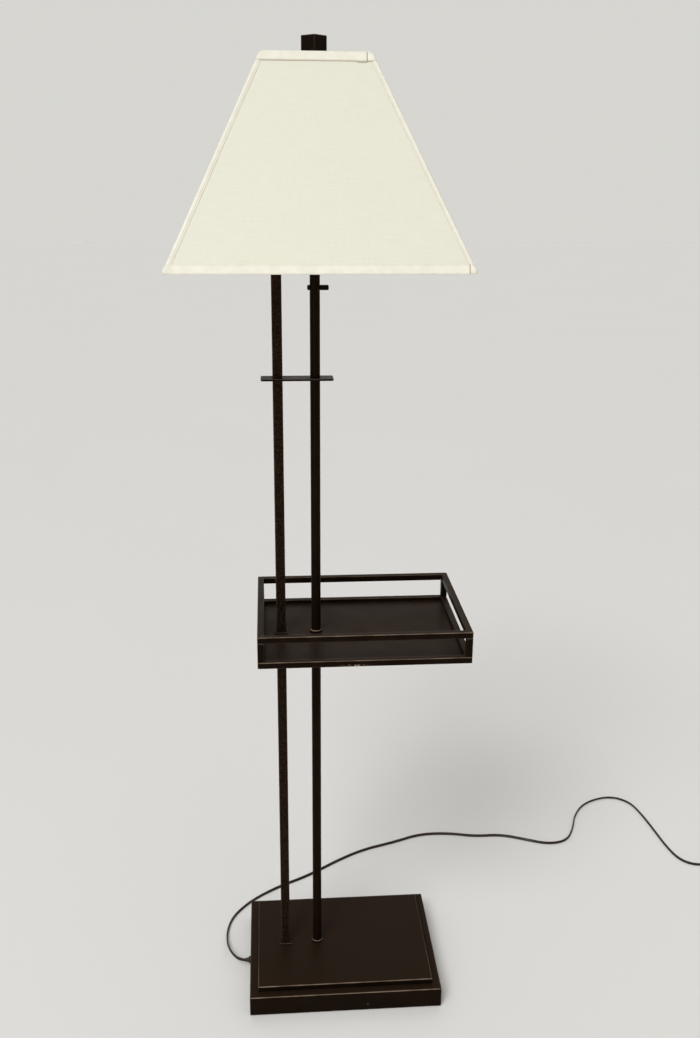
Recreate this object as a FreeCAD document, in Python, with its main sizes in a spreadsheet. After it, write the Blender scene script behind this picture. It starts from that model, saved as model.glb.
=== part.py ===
"""Floor lamp with a gallery tray: two slim posts on a stepped base, a square tapered shade on a harp.

Frame: millimetres, +Z up, +X towards the long end of the tray, +Y to the back.
The origin lies under the round post, on the floor.
"""
import FreeCAD, Part
import math
import os

import Sketcher

Vector = FreeCAD.Vector
Rotation = FreeCAD.Rotation
Placement = FreeCAD.Placement

DOC = FreeCAD.newDocument("FloorLampWithTray")

# ---------------------------------------------------------------------------
# Driving dimensions
# ---------------------------------------------------------------------------
DIMENSIONS = [
    # Base: felt, board, folded cover, upper step and the iron weight inside
    ("base_length", 323.0),
    ("base_depth", 251.0),
    ("base_left", 118.5),
    ("felt_thickness", 2.0),
    ("felt_inset", 2.0),
    ("board_thickness", 3.0),
    ("board_gap", 0.4),
    ("cover_height", 34.5),
    ("cover_wall", 1.5),
    ("step_height", 9.5),
    ("step_inset", 14.0),
    ("step_wall", 1.5),
    ("weight_thickness", 11.0),
    ("weight_inset", 5.0),
    ("clamp_boss_diameter", 26.0),
    ("clamp_boss_clearance", 0.5),
    ("board_boss_diameter", 16.0),
    ("board_boss_inset", 30.0),
    ("screw_diameter", 5.0),
    ("screw_head_diameter", 9.0),
    ("screw_head_height", 2.2),
    ("screw_grip", 12.0),
    ("washer_diameter", 26.0),
    ("washer_thickness", 2.0),
    ("nut_across_corners", 18.4),
    ("nut_height", 5.0),
    # Posts and the threaded pipes that join them
    ("post_spacing", 56.0),
    ("round_post_diameter", 15.0),
    ("round_post_wall", 1.2),
    ("square_post_side", 15.0),
    ("square_post_wall", 1.5),
    ("round_post_top", 1240.0),
    ("square_post_drop", 4.0),
    ("bushing_length", 12.0),
    ("pipe_diameter", 10.0),
    ("pipe_bore", 7.0),
    ("pipe_overhang", 1.5),
    ("fit_clearance", 0.05),
    ("trim_clearance", 0.1),
    ("square_flange_side", 22.0),
    ("square_flange_height", 2.5),
    ("ferrule_diameter", 19.6),
    ("ferrule_height", 4.5),
    ("ferrule_round", 2.0),
    ("cap_thickness", 3.0),
    ("cap_plug_length", 10.0),
    # Tie plate below the shade
    ("tie_drop", 186.5),
    ("tie_length", 108.0),
    ("tie_depth", 30.0),
    ("tie_thickness", 3.0),
    ("tie_left", 25.0),
    ("tie_corner", 4.0),
    # Tray
    ("tray_length", 324.0),
    ("tray_depth", 253.0),
    ("tray_left", 93.0),
    ("tray_bottom", 641.0),
    ("tray_height", 51.0),
    ("tray_tube", 10.0),
    ("tray_tube_wall", 1.2),
    ("tray_floor_rise", 4.0),
    ("tray_floor_thickness", 1.5),
    # Push-through switch in the round post
    ("switch_drop", 52.0),
    ("switch_body_length", 40.0),
    ("switch_rod_diameter", 7.6),
    ("switch_rod_right", 12.8),
    ("switch_rod_left", 3.6),
    ("switch_rod_dome", 1.8),
    ("switch_hole_clearance", 0.4),
    ("running_clearance", 0.07),
    # Harp and its saddle
    ("saddle_thickness", 1.5),
    ("saddle_width", 12.0),
    ("harp_foot_span", 56.0),
    ("ear_width", 8.0),
    ("ear_height", 14.5),
    ("tang_width", 3.4),
    ("tang_height", 10.0),
    ("harp_wire", 4.0),
    ("harp_width", 104.0),
    ("harp_shoulder_width", 44.0),
    ("harp_foot_height", 34.0),
    ("harp_flare_height", 45.0),
    ("harp_shoulder_drop", 64.5),
    ("harp_foot_bend", 30.0),
    ("harp_side_bend", 40.0),
    ("harp_top_bend", 20.0),
    ("harp_seat_diameter", 14.0),
    ("harp_seat_height", 6.0),
    ("harp_stud_diameter", 6.35),
    ("harp_stud_length", 17.5),
    ("sleeve_length", 20.0),
    ("sleeve_wall", 1.3),
    # Lamp holder and bulb
    ("holder_diameter", 34.0),
    ("holder_neck_diameter", 22.0),
    ("holder_wall", 1.0),
    ("holder_cone_height", 9.0),
    ("holder_cap_height", 19.0),
    ("holder_shell_height", 41.0),
    ("holder_core_height", 16.0),
    ("holder_core_sink", 7.0),
    ("screw_shell_height", 24.0),
    ("screw_shell_wall", 0.6),
    ("bulb_cap_diameter", 26.0),
    ("bulb_cap_height", 25.0),
    ("bulb_contact_diameter", 8.0),
    ("bulb_contact_height", 2.0),
    ("bulb_seat_gap", 0.3),
    ("bulb_glass_diameter", 60.0),
    ("bulb_glass_height", 83.0),
    ("bulb_glass_wall", 1.0),
    # Shade
    ("shade_bottom_width", 400.0),
    ("shade_top_width", 145.0),
    ("shade_overlap", 15.0),
    ("shade_height", 272.0),
    ("panel_thickness", 1.0),
    ("tape_thickness", 0.5),
    ("edge_tape_width", 13.0),
    ("corner_tape_width", 7.0),
    ("ring_wire", 3.5),
    ("ring_bend", 8.0),
    ("ring_gap", 0.1),
    ("spider_arm", 3.0),
    ("spider_washer_diameter", 22.0),
    # Finial
    ("finial_side", 25.4),
    ("finial_height", 24.5),
    ("finial_neck_diameter", 14.0),
    ("finial_neck_height", 2.5),
    ("finial_bore_depth", 15.5),
    # Lead: the strain relief in the base, the cord, its coil and the plug
    ("cord_diameter", 5.5),
    ("cord_exit_back", -11.0),
    ("cord_exit_height", 18.0),
    ("relief_flange_diameter", 12.5),
    ("relief_flange_thickness", 3.0),
    ("relief_nose_length", 6.5),
    ("relief_nose_wide", 8.4),
    ("relief_nose_narrow", 6.2),
    ("relief_barrel_diameter", 9.8),
    ("relief_barrel_length", 13.0),
    ("lead_sweep_height", 8.1),
    ("lead_foot_bend", 7.5),
    ("switch_wire_diameter", 5.0),
    ("coil_outer_radius", 36.9),
    ("coil_pitch", 6.0),
    ("coil_turns", 5.25),
    ("plug_width", 24.0),
    ("plug_thickness", 17.2),
    ("plug_length", 26.0),
    ("plug_neck_length", 26.0),
    ("plug_neck_diameter", 8.0),
    ("blade_width", 6.3),
    ("blade_thickness", 1.5),
    ("blade_length", 17.0),
    ("blade_spacing", 12.7),
]

SIZES = DOC.addObject("Spreadsheet::Sheet", "Sizes")
for row, (alias, value) in enumerate(DIMENSIONS, start=1):
    SIZES.set("A%d" % row, alias.replace("_", " "))
    SIZES.set("B%d" % row, str(value))
    SIZES.setAlias("B%d" % row, alias)
DOC.recompute()

# Heights and places that follow from the sheet
LEVELS = DOC.addObject("App::VarSet", "Levels")


def level(name, expression):
    """Add a derived height or place, bound to the driving dimensions."""
    LEVELS.addProperty("App::PropertyFloat", name, "Derived")
    LEVELS.setExpression(name, expression)


level("cover_top", "Sizes.felt_thickness + Sizes.cover_height")
level("step_top", "Levels.cover_top + Sizes.step_height")
level("weight_top", "Levels.cover_top - Sizes.cover_wall")
level("weight_bottom", "Levels.weight_top - Sizes.weight_thickness")
level("board_top", "Sizes.felt_thickness + Sizes.board_thickness")
level("washer_bottom", "Levels.weight_bottom - Sizes.washer_thickness")
level("nut_bottom", "Levels.washer_bottom - Sizes.nut_height")
level("pipe_bottom", "Levels.nut_bottom - Sizes.pipe_overhang")
level("floor_top", "Sizes.tray_bottom + Sizes.tray_floor_rise")
level("floor_under", "Levels.floor_top - Sizes.tray_floor_thickness")
level("rail_bottom", "Sizes.tray_bottom + Sizes.tray_height - Sizes.tray_tube")
level("tray_front", "-Sizes.tray_depth / 2")
level("tray_right", "Sizes.tray_length - Sizes.tray_left")
level("round_bore", "Sizes.round_post_diameter - 2 * Sizes.round_post_wall")
level("square_bore", "Sizes.square_post_side - 2 * Sizes.square_post_wall")
level("square_post_top", "Sizes.round_post_top - Sizes.square_post_drop")
level("tie_height", "Sizes.round_post_top - Sizes.tie_drop")
level("switch_height", "Sizes.round_post_top - Sizes.switch_drop")
level("shade_bottom", "Sizes.round_post_top - Sizes.shade_overlap")
level("saddle_top", "Sizes.round_post_top + Sizes.saddle_thickness")
level("ear_top", "Levels.saddle_top + Sizes.ear_height")
level("tang_top", "Levels.ear_top + Sizes.tang_height")
level("holder_cap_top", "Levels.saddle_top + Sizes.holder_cap_height")
level("holder_core_bottom", "Levels.holder_cap_top - Sizes.holder_core_sink")
level("holder_core_top", "Levels.holder_core_bottom + Sizes.holder_core_height")
level("bulb_bottom", "Levels.holder_core_top + Sizes.bulb_seat_gap")
level("bulb_cap_top", "Levels.bulb_bottom + Sizes.bulb_cap_height + Sizes.bulb_contact_height")
level("shade_top", "Levels.shade_bottom + Sizes.shade_height")
level("shade_slope", "(Sizes.shade_bottom_width - Sizes.shade_top_width) / 2 / Sizes.shade_height")
level("shade_stretch", "sqrt(1 + Levels.shade_slope ^ 2)")
level("panel_across", "Sizes.panel_thickness * Levels.shade_stretch")
level("tape_across", "Sizes.tape_thickness * Levels.shade_stretch")
level("seat_top", "Levels.shade_top - Sizes.ring_wire")
level("finial_block_bottom", "Levels.shade_top + Sizes.finial_neck_height")
level("running_bore", "Sizes.harp_stud_diameter + 2 * Sizes.running_clearance")
DOC.recompute()


def size(name):
    """The value of a driving dimension."""
    return float(SIZES.get(name))


def place(name):
    """The value of a derived height or place."""
    return float(getattr(LEVELS, name))


# ---------------------------------------------------------------------------
# Ways of making a piece
# ---------------------------------------------------------------------------
NODES = []


def publish(node, piece):
    """Name a finished piece and keep it for the export."""
    piece.Label = node
    NODES.append(piece)
    return piece


def bind(piece, expressions):
    """Bind properties of a piece to the sheet."""
    for path, expression in expressions.items():
        piece.setExpression(path, str(expression))
    return piece


def bind_place(piece, corner):
    """Bind a piece's position."""
    x, y, z = corner
    return bind(piece, {"Placement.Base.x": x, "Placement.Base.y": y, "Placement.Base.z": z})


def box(name, sides, corner):
    """A block of given sides from its lowest corner."""
    piece = DOC.addObject("Part::Box", name)
    bind(piece, {"Length": sides[0], "Width": sides[1], "Height": sides[2]})
    return bind_place(piece, corner)


def centred_box(name, sides, centre, bottom):
    """A block centred on a vertical axis, standing on a height."""
    corner = ["%s - (%s) / 2" % (centre[0], sides[0]), "%s - (%s) / 2" % (centre[1], sides[1]), bottom]
    return box(name, sides, corner)


def cylinder(name, diameter, height, foot, turn=None):
    """A round bar from the centre of its foot, upright unless turned."""
    piece = DOC.addObject("Part::Cylinder", name)
    bind(piece, {"Radius": "(%s) / 2" % diameter, "Height": height})
    if turn is not None:
        piece.Placement = Placement(Vector(), turn)
    return bind_place(piece, foot)


def cone(name, low_diameter, high_diameter, height, foot, turn=None):
    """A tapered bar from the centre of its foot."""
    piece = DOC.addObject("Part::Cone", name)
    bind(piece, {"Radius1": "(%s) / 2" % low_diameter, "Radius2": "(%s) / 2" % high_diameter, "Height": height})
    if turn is not None:
        piece.Placement = Placement(Vector(), turn)
    return bind_place(piece, foot)


def fuse(name, pieces):
    """Several shapes made one solid."""
    piece = DOC.addObject("Part::MultiFuse", name)
    piece.Shapes = pieces
    piece.Refine = True
    return piece


def cut(name, base, tools):
    """A shape with one or more tools taken out of it."""
    piece = DOC.addObject("Part::Cut", name)
    piece.Base = base
    piece.Tool = tools[0] if len(tools) == 1 else fuse(name + "_tools", tools)
    return piece


def group(name, pieces):
    """Like pieces kept together as separate solids."""
    piece = DOC.addObject("Part::Compound", name)
    piece.Links = pieces
    return piece


def ring(name, outer, inner, height, foot):
    """An upright tube, washer or ring."""
    overshoot = [foot[0], foot[1], "%s - 1" % foot[2]]
    body = cylinder(name + "_outside", outer, height, foot)
    hole = cylinder(name + "_inside", inner, "%s + 2" % height, overshoot)
    return cut(name, body, [hole])


def formed(name, shape):
    """A piece whose shape is worked out in code, then given its placement."""
    piece = DOC.addObject("Part::Feature", name)
    piece.Shape = shape
    piece.Placement = Placement(Vector(), Rotation())
    return piece


def sketch_plane(body, role):
    """One of a body's own origin planes."""
    for item in body.Origin.OriginFeatures:
        if item.Role == role:
            return item
    raise ValueError("no plane " + role)


def polygon_sketch(body, name, role, corners):
    """A closed outline whose corners are bound to the sheet. Corners are pairs of expressions."""
    sketch = body.newObject("Sketcher::SketchObject", name)
    sketch.AttachmentSupport = [(sketch_plane(body, role), "")]
    sketch.MapMode = "FlatFace"
    count = len(corners)
    for index in range(count):
        angle = 2 * math.pi * index / count
        after = 2 * math.pi * (index + 1) / count
        start = Vector(50 * math.cos(angle), 50 * math.sin(angle), 0)
        end = Vector(50 * math.cos(after), 50 * math.sin(after), 0)
        sketch.addGeometry(Part.LineSegment(start, end))
    for index in range(count):
        sketch.addConstraint(Sketcher.Constraint("Coincident", index, 2, (index + 1) % count, 1))
    for index, (across, up) in enumerate(corners):
        for kind, expression in (("DistanceX", across), ("DistanceY", up)):
            number = sketch.addConstraint(Sketcher.Constraint(kind, -1, 1, index, 1, 1.0))
            sketch.setExpression("Constraints[%d]" % number, expression)
    return sketch


def tube_edges(points, bends, closed=False):
    """Straight runs joined by tangent arcs, one radius for each corner."""
    count = len(points)
    corners = range(count) if closed else range(1, count - 1)
    arcs = {}
    for index in corners:
        here = points[index]
        before = points[index - 1] - here
        after = points[(index + 1) % count] - here
        before.normalize()
        after.normalize()
        half_turn = (math.pi - before.getAngle(after)) / 2
        radius = bends[index]
        reach = radius * math.tan(half_turn)
        middle = (before + after).normalize()
        nearest = here + middle * (radius / math.cos(half_turn) - radius)
        arcs[index] = (here + before * reach, nearest, here + after * reach)
    edges = []
    for index in range(count if closed else count - 1):
        following = (index + 1) % count
        start = arcs[index][2] if index in arcs else points[index]
        end = arcs[following][0] if following in arcs else points[following]
        edges.append(Part.LineSegment(start, end).toShape())
        if following in arcs:
            edges.append(Part.Arc(*arcs[following]).toShape())
    return edges


def swept(edges, diameter):
    """A round solid along a chain of edges."""
    spine = Part.Wire(edges)
    start = edges[0].valueAt(edges[0].FirstParameter)
    heading = edges[0].tangentAt(edges[0].FirstParameter)
    section = Part.Wire([Part.makeCircle(diameter / 2, start, heading)])
    return spine.makePipeShell([section], True, False)


def report_tube(label, edges, diameter, solid):
    """Print a tube's length and how its volume compares with section times length."""
    length = sum(edge.Length for edge in edges)
    expected = math.pi * diameter ** 2 / 4 * length
    print("%s: length %.1f mm, volume ratio %.4f" % (label, length, solid.Volume / expected))


# ---------------------------------------------------------------------------
# Base
# ---------------------------------------------------------------------------
BASE_X = "-Sizes.base_left"
BASE_Y = "-Sizes.base_depth / 2"
POST_X = {"square": "-Sizes.post_spacing", "round": "0"}


def base_plan(inset):
    """Length, depth and lowest corner of the base's outline, drawn in by an inset."""
    sides = ["Sizes.base_length - 2 * (%s)" % inset, "Sizes.base_depth - 2 * (%s)" % inset]
    corner = ["%s + %s" % (BASE_X, inset), "%s + %s" % (BASE_Y, inset)]
    return sides, corner


def base_slab(name, inset, thickness, bottom):
    """A flat block that follows the base's outline."""
    sides, corner = base_plan(inset)
    return box(name, sides + [thickness], corner + [bottom])


def make_base():
    """Felt, board, cover, upper step, weight and what clamps them."""
    publish("felt_pad", base_slab("Felt", "Sizes.felt_inset", "Sizes.felt_thickness", "0"))

    # The board lies inside the cover's walls and is held by four countersunk screws
    board = base_slab("Board", "Sizes.cover_wall + Sizes.board_gap", "Sizes.board_thickness", "Sizes.felt_thickness")
    screws = []
    board_holes = []
    weight_holes = []
    board_bosses = []
    for side, x in (("left", "%s + Sizes.board_boss_inset" % BASE_X),
                    ("right", "Sizes.base_length - Sizes.base_left - Sizes.board_boss_inset")):
        for end, y in (("front", "%s + Sizes.board_boss_inset" % BASE_Y),
                       ("back", "Sizes.base_depth / 2 - Sizes.board_boss_inset")):
            tag = side + "_" + end
            foot = [x, y, "Sizes.felt_thickness"]
            head = cone("ScrewHead_" + tag, "Sizes.screw_head_diameter", "Sizes.screw_diameter",
                        "Sizes.screw_head_height", foot)
            shank = cylinder("ScrewShank_" + tag, "Sizes.screw_diameter",
                             "Sizes.board_thickness + Sizes.screw_grip", foot)
            screws.append(fuse("Screw_" + tag, [head, shank]))
            clear_head = cone("ScrewSeat_" + tag, "Sizes.screw_head_diameter + 2 * Sizes.fit_clearance",
                              "Sizes.screw_diameter + 2 * Sizes.fit_clearance", "Sizes.screw_head_height", foot)
            clear_shank = cylinder("ScrewPass_" + tag, "Sizes.screw_diameter + 2 * Sizes.fit_clearance",
                                   "Sizes.board_thickness + 1", foot)
            board_holes += [clear_head, clear_shank]
            boss_foot = [x, y, "Levels.board_top"]
            board_bosses.append(cylinder("BoardBoss_" + tag, "Sizes.board_boss_diameter",
                                         "Levels.weight_bottom - Levels.board_top + 1", boss_foot))
            weight_holes.append(cylinder("ScrewBore_" + tag, "Sizes.screw_diameter + 2 * Sizes.fit_clearance",
                                         "Sizes.screw_grip + Sizes.trim_clearance", boss_foot))
    publish("bottom_board", cut("BottomBoard", board, board_holes))
    publish("board_screws", group("BoardScrews", screws))

    # The weight: a slab, four bosses down to the board and two up through the cover to the step
    slab = base_slab("WeightSlab", "Sizes.cover_wall + Sizes.weight_inset", "Sizes.weight_thickness",
                     "Levels.weight_bottom")
    step_under = "Levels.step_top - Sizes.step_wall"
    clamp_bosses = []
    cover_holes = []
    step_holes = []
    washers = []
    nuts = []
    pipes = []
    pipe_hole = "Sizes.pipe_diameter + 2 * Sizes.fit_clearance"
    for post, x in POST_X.items():
        clamp_bosses.append(cylinder("ClampBoss_" + post, "Sizes.clamp_boss_diameter",
                                     "%s - Levels.weight_top + 1" % step_under, [x, "0", "Levels.weight_top - 1"]))
        cover_holes.append(cylinder("CoverHole_" + post,
                                    "Sizes.clamp_boss_diameter + 2 * Sizes.clamp_boss_clearance",
                                    "Sizes.cover_wall + 2", [x, "0", "Levels.weight_top - 1"]))
        weight_holes.append(cylinder("WeightBore_" + post, pipe_hole, "Sizes.cover_height + Sizes.step_height",
                                     [x, "0", "Levels.weight_bottom - 1"]))
        step_holes.append(cylinder("StepHole_" + post, pipe_hole, "Sizes.step_wall + 2",
                                   [x, "0", "%s - 1" % step_under]))
        washers.append(ring("Washer_" + post, "Sizes.washer_diameter", pipe_hole, "Sizes.washer_thickness",
                            [x, "0", "Levels.washer_bottom"]))
        nuts.append(hexagon_nut("Nut_" + post, pipe_hole, [x, "0", "Levels.nut_bottom"]))
        pipes.append(ring("BasePipe_" + post, "Sizes.pipe_diameter", "Sizes.pipe_bore",
                          "Levels.step_top + Sizes.bushing_length - Levels.pipe_bottom",
                          [x, "0", "Levels.pipe_bottom"]))
    weight = fuse("WeightCasting", [slab] + board_bosses + clamp_bosses)
    publish("base_weight", cut("BaseWeight", weight, weight_holes))
    publish("base_washers", group("BaseWashers", washers))
    publish("base_nuts", group("BaseNuts", nuts))
    publish("base_pipes", group("BasePipes", pipes))

    # The folded cover is open below and has a hole in its left wall for the strain relief
    outside = base_slab("CoverOutside", "0", "Sizes.cover_height", "Sizes.felt_thickness")
    inside = base_slab("CoverInside", "Sizes.cover_wall", "Sizes.cover_height - Sizes.cover_wall + 1",
                       "Sizes.felt_thickness - 1")
    relief_hole = cylinder("ReliefHole", "Sizes.relief_barrel_diameter + 2 * Sizes.trim_clearance",
                           "Sizes.cover_wall + 2", ["%s - 1" % BASE_X, "Sizes.cord_exit_back",
                                                    "Sizes.cord_exit_height"],
                           Rotation(Vector(0, 1, 0), 90))
    publish("base_cover", cut("BaseCover", outside, [inside, relief_hole] + cover_holes))

    # The upper step is a shallow folded tray turned over on the cover
    step = base_slab("StepOutside", "Sizes.step_inset", "Sizes.step_height", "Levels.cover_top")
    hollow = base_slab("StepInside", "Sizes.step_inset + Sizes.step_wall",
                       "Sizes.step_height - Sizes.step_wall + 1", "Levels.cover_top - 1")
    publish("base_step_plate", cut("BaseStepPlate", step, [hollow] + step_holes))


def hexagon_nut(name, bore, foot):
    """A hexagon nut with a plain bore."""
    prism = DOC.addObject("Part::Prism", name + "_hexagon")
    prism.Polygon = 6
    bind(prism, {"Circumradius": "Sizes.nut_across_corners / 2", "Height": "Sizes.nut_height"})
    bind_place(prism, foot)
    hole = cylinder(name + "_bore", bore, "Sizes.nut_height + 2", [foot[0], foot[1], "%s - 1" % foot[2]])
    return cut(name, prism, [hole])


def make_cord_bushing():
    """The strain relief: tapered nose and flange outside the cover, barrel through its left wall."""
    y = "Sizes.cord_exit_back"
    z = "Sizes.cord_exit_height"
    along_x = Rotation(Vector(0, 1, 0), 90)
    flange_x = "%s - Sizes.relief_flange_thickness" % BASE_X
    nose = cone("ReliefNose", "Sizes.relief_nose_narrow", "Sizes.relief_nose_wide", "Sizes.relief_nose_length",
                ["%s - Sizes.relief_nose_length" % flange_x, y, z], along_x)
    flange = cylinder("ReliefFlange", "Sizes.relief_flange_diameter", "Sizes.relief_flange_thickness",
                      [flange_x, y, z], along_x)
    barrel = cylinder("ReliefBarrel", "Sizes.relief_barrel_diameter", "Sizes.relief_barrel_length",
                      [BASE_X, y, z], along_x)
    publish("cord_bushing", fuse("CordBushing", [nose, flange, barrel]))


# ---------------------------------------------------------------------------
# Posts
# ---------------------------------------------------------------------------
def round_tube(name, bottom, top):
    """A length of the round post."""
    return ring(name, "Sizes.round_post_diameter", "Levels.round_bore", "(%s) - (%s)" % (top, bottom),
                ["0", "0", bottom])


def square_tube(name, bottom, top):
    """A length of the square post."""
    height = "(%s) - (%s)" % (top, bottom)
    x = POST_X["square"]
    outside = centred_box(name + "_outside", ["Sizes.square_post_side", "Sizes.square_post_side", height],
                          [x, "0"], bottom)
    inside = centred_box(name + "_inside", ["Levels.square_bore", "Levels.square_bore", "%s + 2" % height],
                         [x, "0"], "%s - 1" % bottom)
    return cut(name, outside, [inside])


def ferrule(name, bottom):
    """A low ring with a rounded upper edge, round the round post."""
    body = DOC.addObject("PartDesign::Body", name)
    inner = "Sizes.round_post_diameter / 2 + Sizes.trim_clearance"
    outer = "Sizes.ferrule_diameter / 2"
    outline = [(inner, bottom), (outer, bottom), (outer, "%s + Sizes.ferrule_height" % bottom),
               (inner, "%s + Sizes.ferrule_height" % bottom)]
    sketch = polygon_sketch(body, name + "_section", "XZ_Plane", outline)
    turned = body.newObject("PartDesign::Revolution", name + "_turned")
    turned.Profile = sketch
    turned.ReferenceAxis = (sketch, ["V_Axis"])
    turned.Angle = 360
    DOC.recompute()
    top = place(bottom.split(".")[1]) + size("ferrule_height")
    crown = [
        "Edge%d" % (number + 1)
        for number, edge in enumerate(turned.Shape.Edges)
        if isinstance(edge.Curve, Part.Circle)
        and abs(edge.Curve.Radius - size("ferrule_diameter") / 2) < 1e-6
        and abs(edge.Curve.Center.z - top) < 1e-6
    ]
    rounding = body.newObject("PartDesign::Fillet", name + "_crown")
    rounding.Base = (turned, crown)
    rounding.setExpression("Radius", "Sizes.ferrule_round")
    return body


def square_flange(name, bottom):
    """A thin square trim plate round the square post."""
    x = POST_X["square"]
    side = "Sizes.square_flange_side"
    hole = "Sizes.square_post_side + 2 * Sizes.trim_clearance"
    plate = centred_box(name + "_plate", [side, side, "Sizes.square_flange_height"], [x, "0"], bottom)
    opening = centred_box(name + "_opening", [hole, hole, "Sizes.square_flange_height + 2"], [x, "0"],
                          "%s - 1" % bottom)
    return cut(name, plate, [opening])


def make_posts():
    """Four tubes, the plugs in their ends, the pipes that join them and the trim at their feet."""
    publish("lower_round_post", round_tube("LowerRound", "Levels.step_top", "Levels.floor_under"))
    publish("lower_square_post", square_tube("LowerSquare", "Levels.step_top", "Levels.floor_under"))
    upper = round_tube("UpperRound", "Levels.floor_top", "Sizes.round_post_top")
    rod_hole = cylinder("RodHole", "Sizes.switch_rod_diameter + 2 * Sizes.switch_hole_clearance",
                        "Sizes.round_post_diameter + 2", ["-Sizes.round_post_diameter / 2 - 1", "0",
                                                          "Levels.switch_height"],
                        Rotation(Vector(0, 1, 0), 90))
    publish("upper_round_post", cut("UpperRoundDrilled", upper, [rod_hole]))
    publish("upper_square_post", square_tube("UpperSquare", "Levels.floor_top", "Levels.square_post_top"))

    pipe_hole = "Sizes.pipe_diameter + 2 * Sizes.fit_clearance"
    plug = "Levels.round_bore - 2 * Sizes.fit_clearance"
    plug_side = "Levels.square_bore - 2 * Sizes.fit_clearance"
    feet = {
        "base": "Levels.step_top",
        "under_tray": "Levels.floor_under - Sizes.bushing_length",
        "on_tray": "Levels.floor_top",
        "top": "Sizes.round_post_top - Sizes.bushing_length",
    }
    round_plugs = []
    square_plugs = []
    for place_name, foot in feet.items():
        round_plugs.append(ring("RoundPlug_" + place_name, plug, pipe_hole, "Sizes.bushing_length",
                                ["0", "0", foot]))
        if place_name == "top":
            continue
        x = POST_X["square"]
        body = centred_box("SquarePlug_%s_body" % place_name, [plug_side, plug_side, "Sizes.bushing_length"],
                           [x, "0"], foot)
        hole = cylinder("SquarePlug_%s_bore" % place_name, pipe_hole, "Sizes.bushing_length + 2",
                        [x, "0", "%s - 1" % foot])
        square_plugs.append(cut("SquarePlug_" + place_name, body, [hole]))
    publish("round_post_bushings", group("RoundPostBushings", round_plugs))
    publish("square_post_bushings", group("SquarePostBushings", square_plugs))

    joining = "2 * Sizes.bushing_length + Sizes.tray_floor_thickness"
    tray_pipes = [
        ring("TrayPipe_" + post, "Sizes.pipe_diameter", "Sizes.pipe_bore", joining,
             [x, "0", "Levels.floor_under - Sizes.bushing_length"])
        for post, x in POST_X.items()
    ]
    publish("tray_pipes", group("TrayPipes", tray_pipes))
    publish("top_pipe", ring("TopPipe", "Sizes.pipe_diameter", "Sizes.pipe_bore",
                             "Levels.holder_core_bottom - Sizes.round_post_top + Sizes.bushing_length"
                             " - Sizes.pipe_overhang",
                             ["0", "0", "Sizes.round_post_top - Sizes.bushing_length"]))

    publish("square_flanges", group("SquareFlanges", [
        square_flange("SquareFlange_base", "Levels.step_top"),
        square_flange("SquareFlange_tray", "Levels.floor_top"),
    ]))
    publish("round_ferrules", group("RoundFerrules", [
        ferrule("Ferrule_base", "Levels.step_top"),
        ferrule("Ferrule_tray", "Levels.floor_top"),
    ]))

    # The cap's plate lies on the square tube's end and its plug fits inside
    x = POST_X["square"]
    plate = centred_box("CapPlate", ["Sizes.square_post_side", "Sizes.square_post_side", "Sizes.cap_thickness"],
                        [x, "0"], "Levels.square_post_top")
    stem = centred_box("CapPlug", [plug_side, plug_side, "Sizes.cap_plug_length + 1"], [x, "0"],
                       "Levels.square_post_top - Sizes.cap_plug_length")
    publish("square_post_cap", fuse("SquarePostCap", [plate, stem]))


def make_tie_plate():
    """A flat bar with rounded corners through which both upper posts pass."""
    body = DOC.addObject("PartDesign::Body", "TiePlate")
    left = "-Sizes.post_spacing - Sizes.tie_left"
    right = "%s + Sizes.tie_length" % left
    front = "-Sizes.tie_depth / 2"
    back = "Sizes.tie_depth / 2"
    outline = polygon_sketch(body, "TieOutline", "XY_Plane",
                             [(left, front), (right, front), (right, back), (left, back)])
    outline.setExpression("AttachmentOffset.Base.z", "Levels.tie_height")
    bar = body.newObject("PartDesign::Pad", "TieBar")
    bar.Profile = outline
    bar.setExpression("Length", "Sizes.tie_thickness")
    DOC.recompute()
    upright = [
        "Edge%d" % (number + 1)
        for number, edge in enumerate(bar.Shape.Edges)
        if abs(edge.tangentAt(edge.FirstParameter).z) > 0.9
    ]
    corners = body.newObject("PartDesign::Fillet", "TieCorners")
    corners.Base = (bar, upright)
    corners.setExpression("Radius", "Sizes.tie_corner")
    through = "Sizes.tie_thickness + 2"
    under = "Levels.tie_height - 1"
    hole = "Sizes.square_post_side + 2 * Sizes.trim_clearance"
    square_hole = centred_box("TieSquareHole", [hole, hole, through], [POST_X["square"], "0"], under)
    round_hole = cylinder("TieRoundHole", "Sizes.round_post_diameter + 2 * Sizes.trim_clearance", through,
                          ["0", "0", under])
    publish("tie_plate", cut("TiePlateDrilled", body, [square_hole, round_hole]))


# ---------------------------------------------------------------------------
# Tray
# ---------------------------------------------------------------------------
def mitred_rail(name, length, corner, turn):
    """A square tube cut at 45 degrees at both ends, its long side outward."""
    side = "Sizes.tray_tube"
    wall = "Sizes.tray_tube_wall"
    wedges = []
    for part, inset in (("outside", "0"), ("inside", wall)):
        wedge = DOC.addObject("Part::Wedge", "%s_%s" % (name, part))
        far = "%s - %s" % (side, inset)
        bind(wedge, {
            "Xmin": inset, "Xmax": "%s - %s" % (length, inset),
            "Ymin": inset, "Ymax": far,
            "Zmin": inset, "Zmax": far,
            "X2min": far, "X2max": "%s - (%s)" % (length, far),
            "Z2min": inset, "Z2max": far,
        })
        wedges.append(wedge)
    rail = cut(name, wedges[0], [wedges[1]])
    rail.Placement = Placement(Vector(), Rotation(Vector(0, 0, 1), turn))
    return bind_place(rail, corner)


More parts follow.
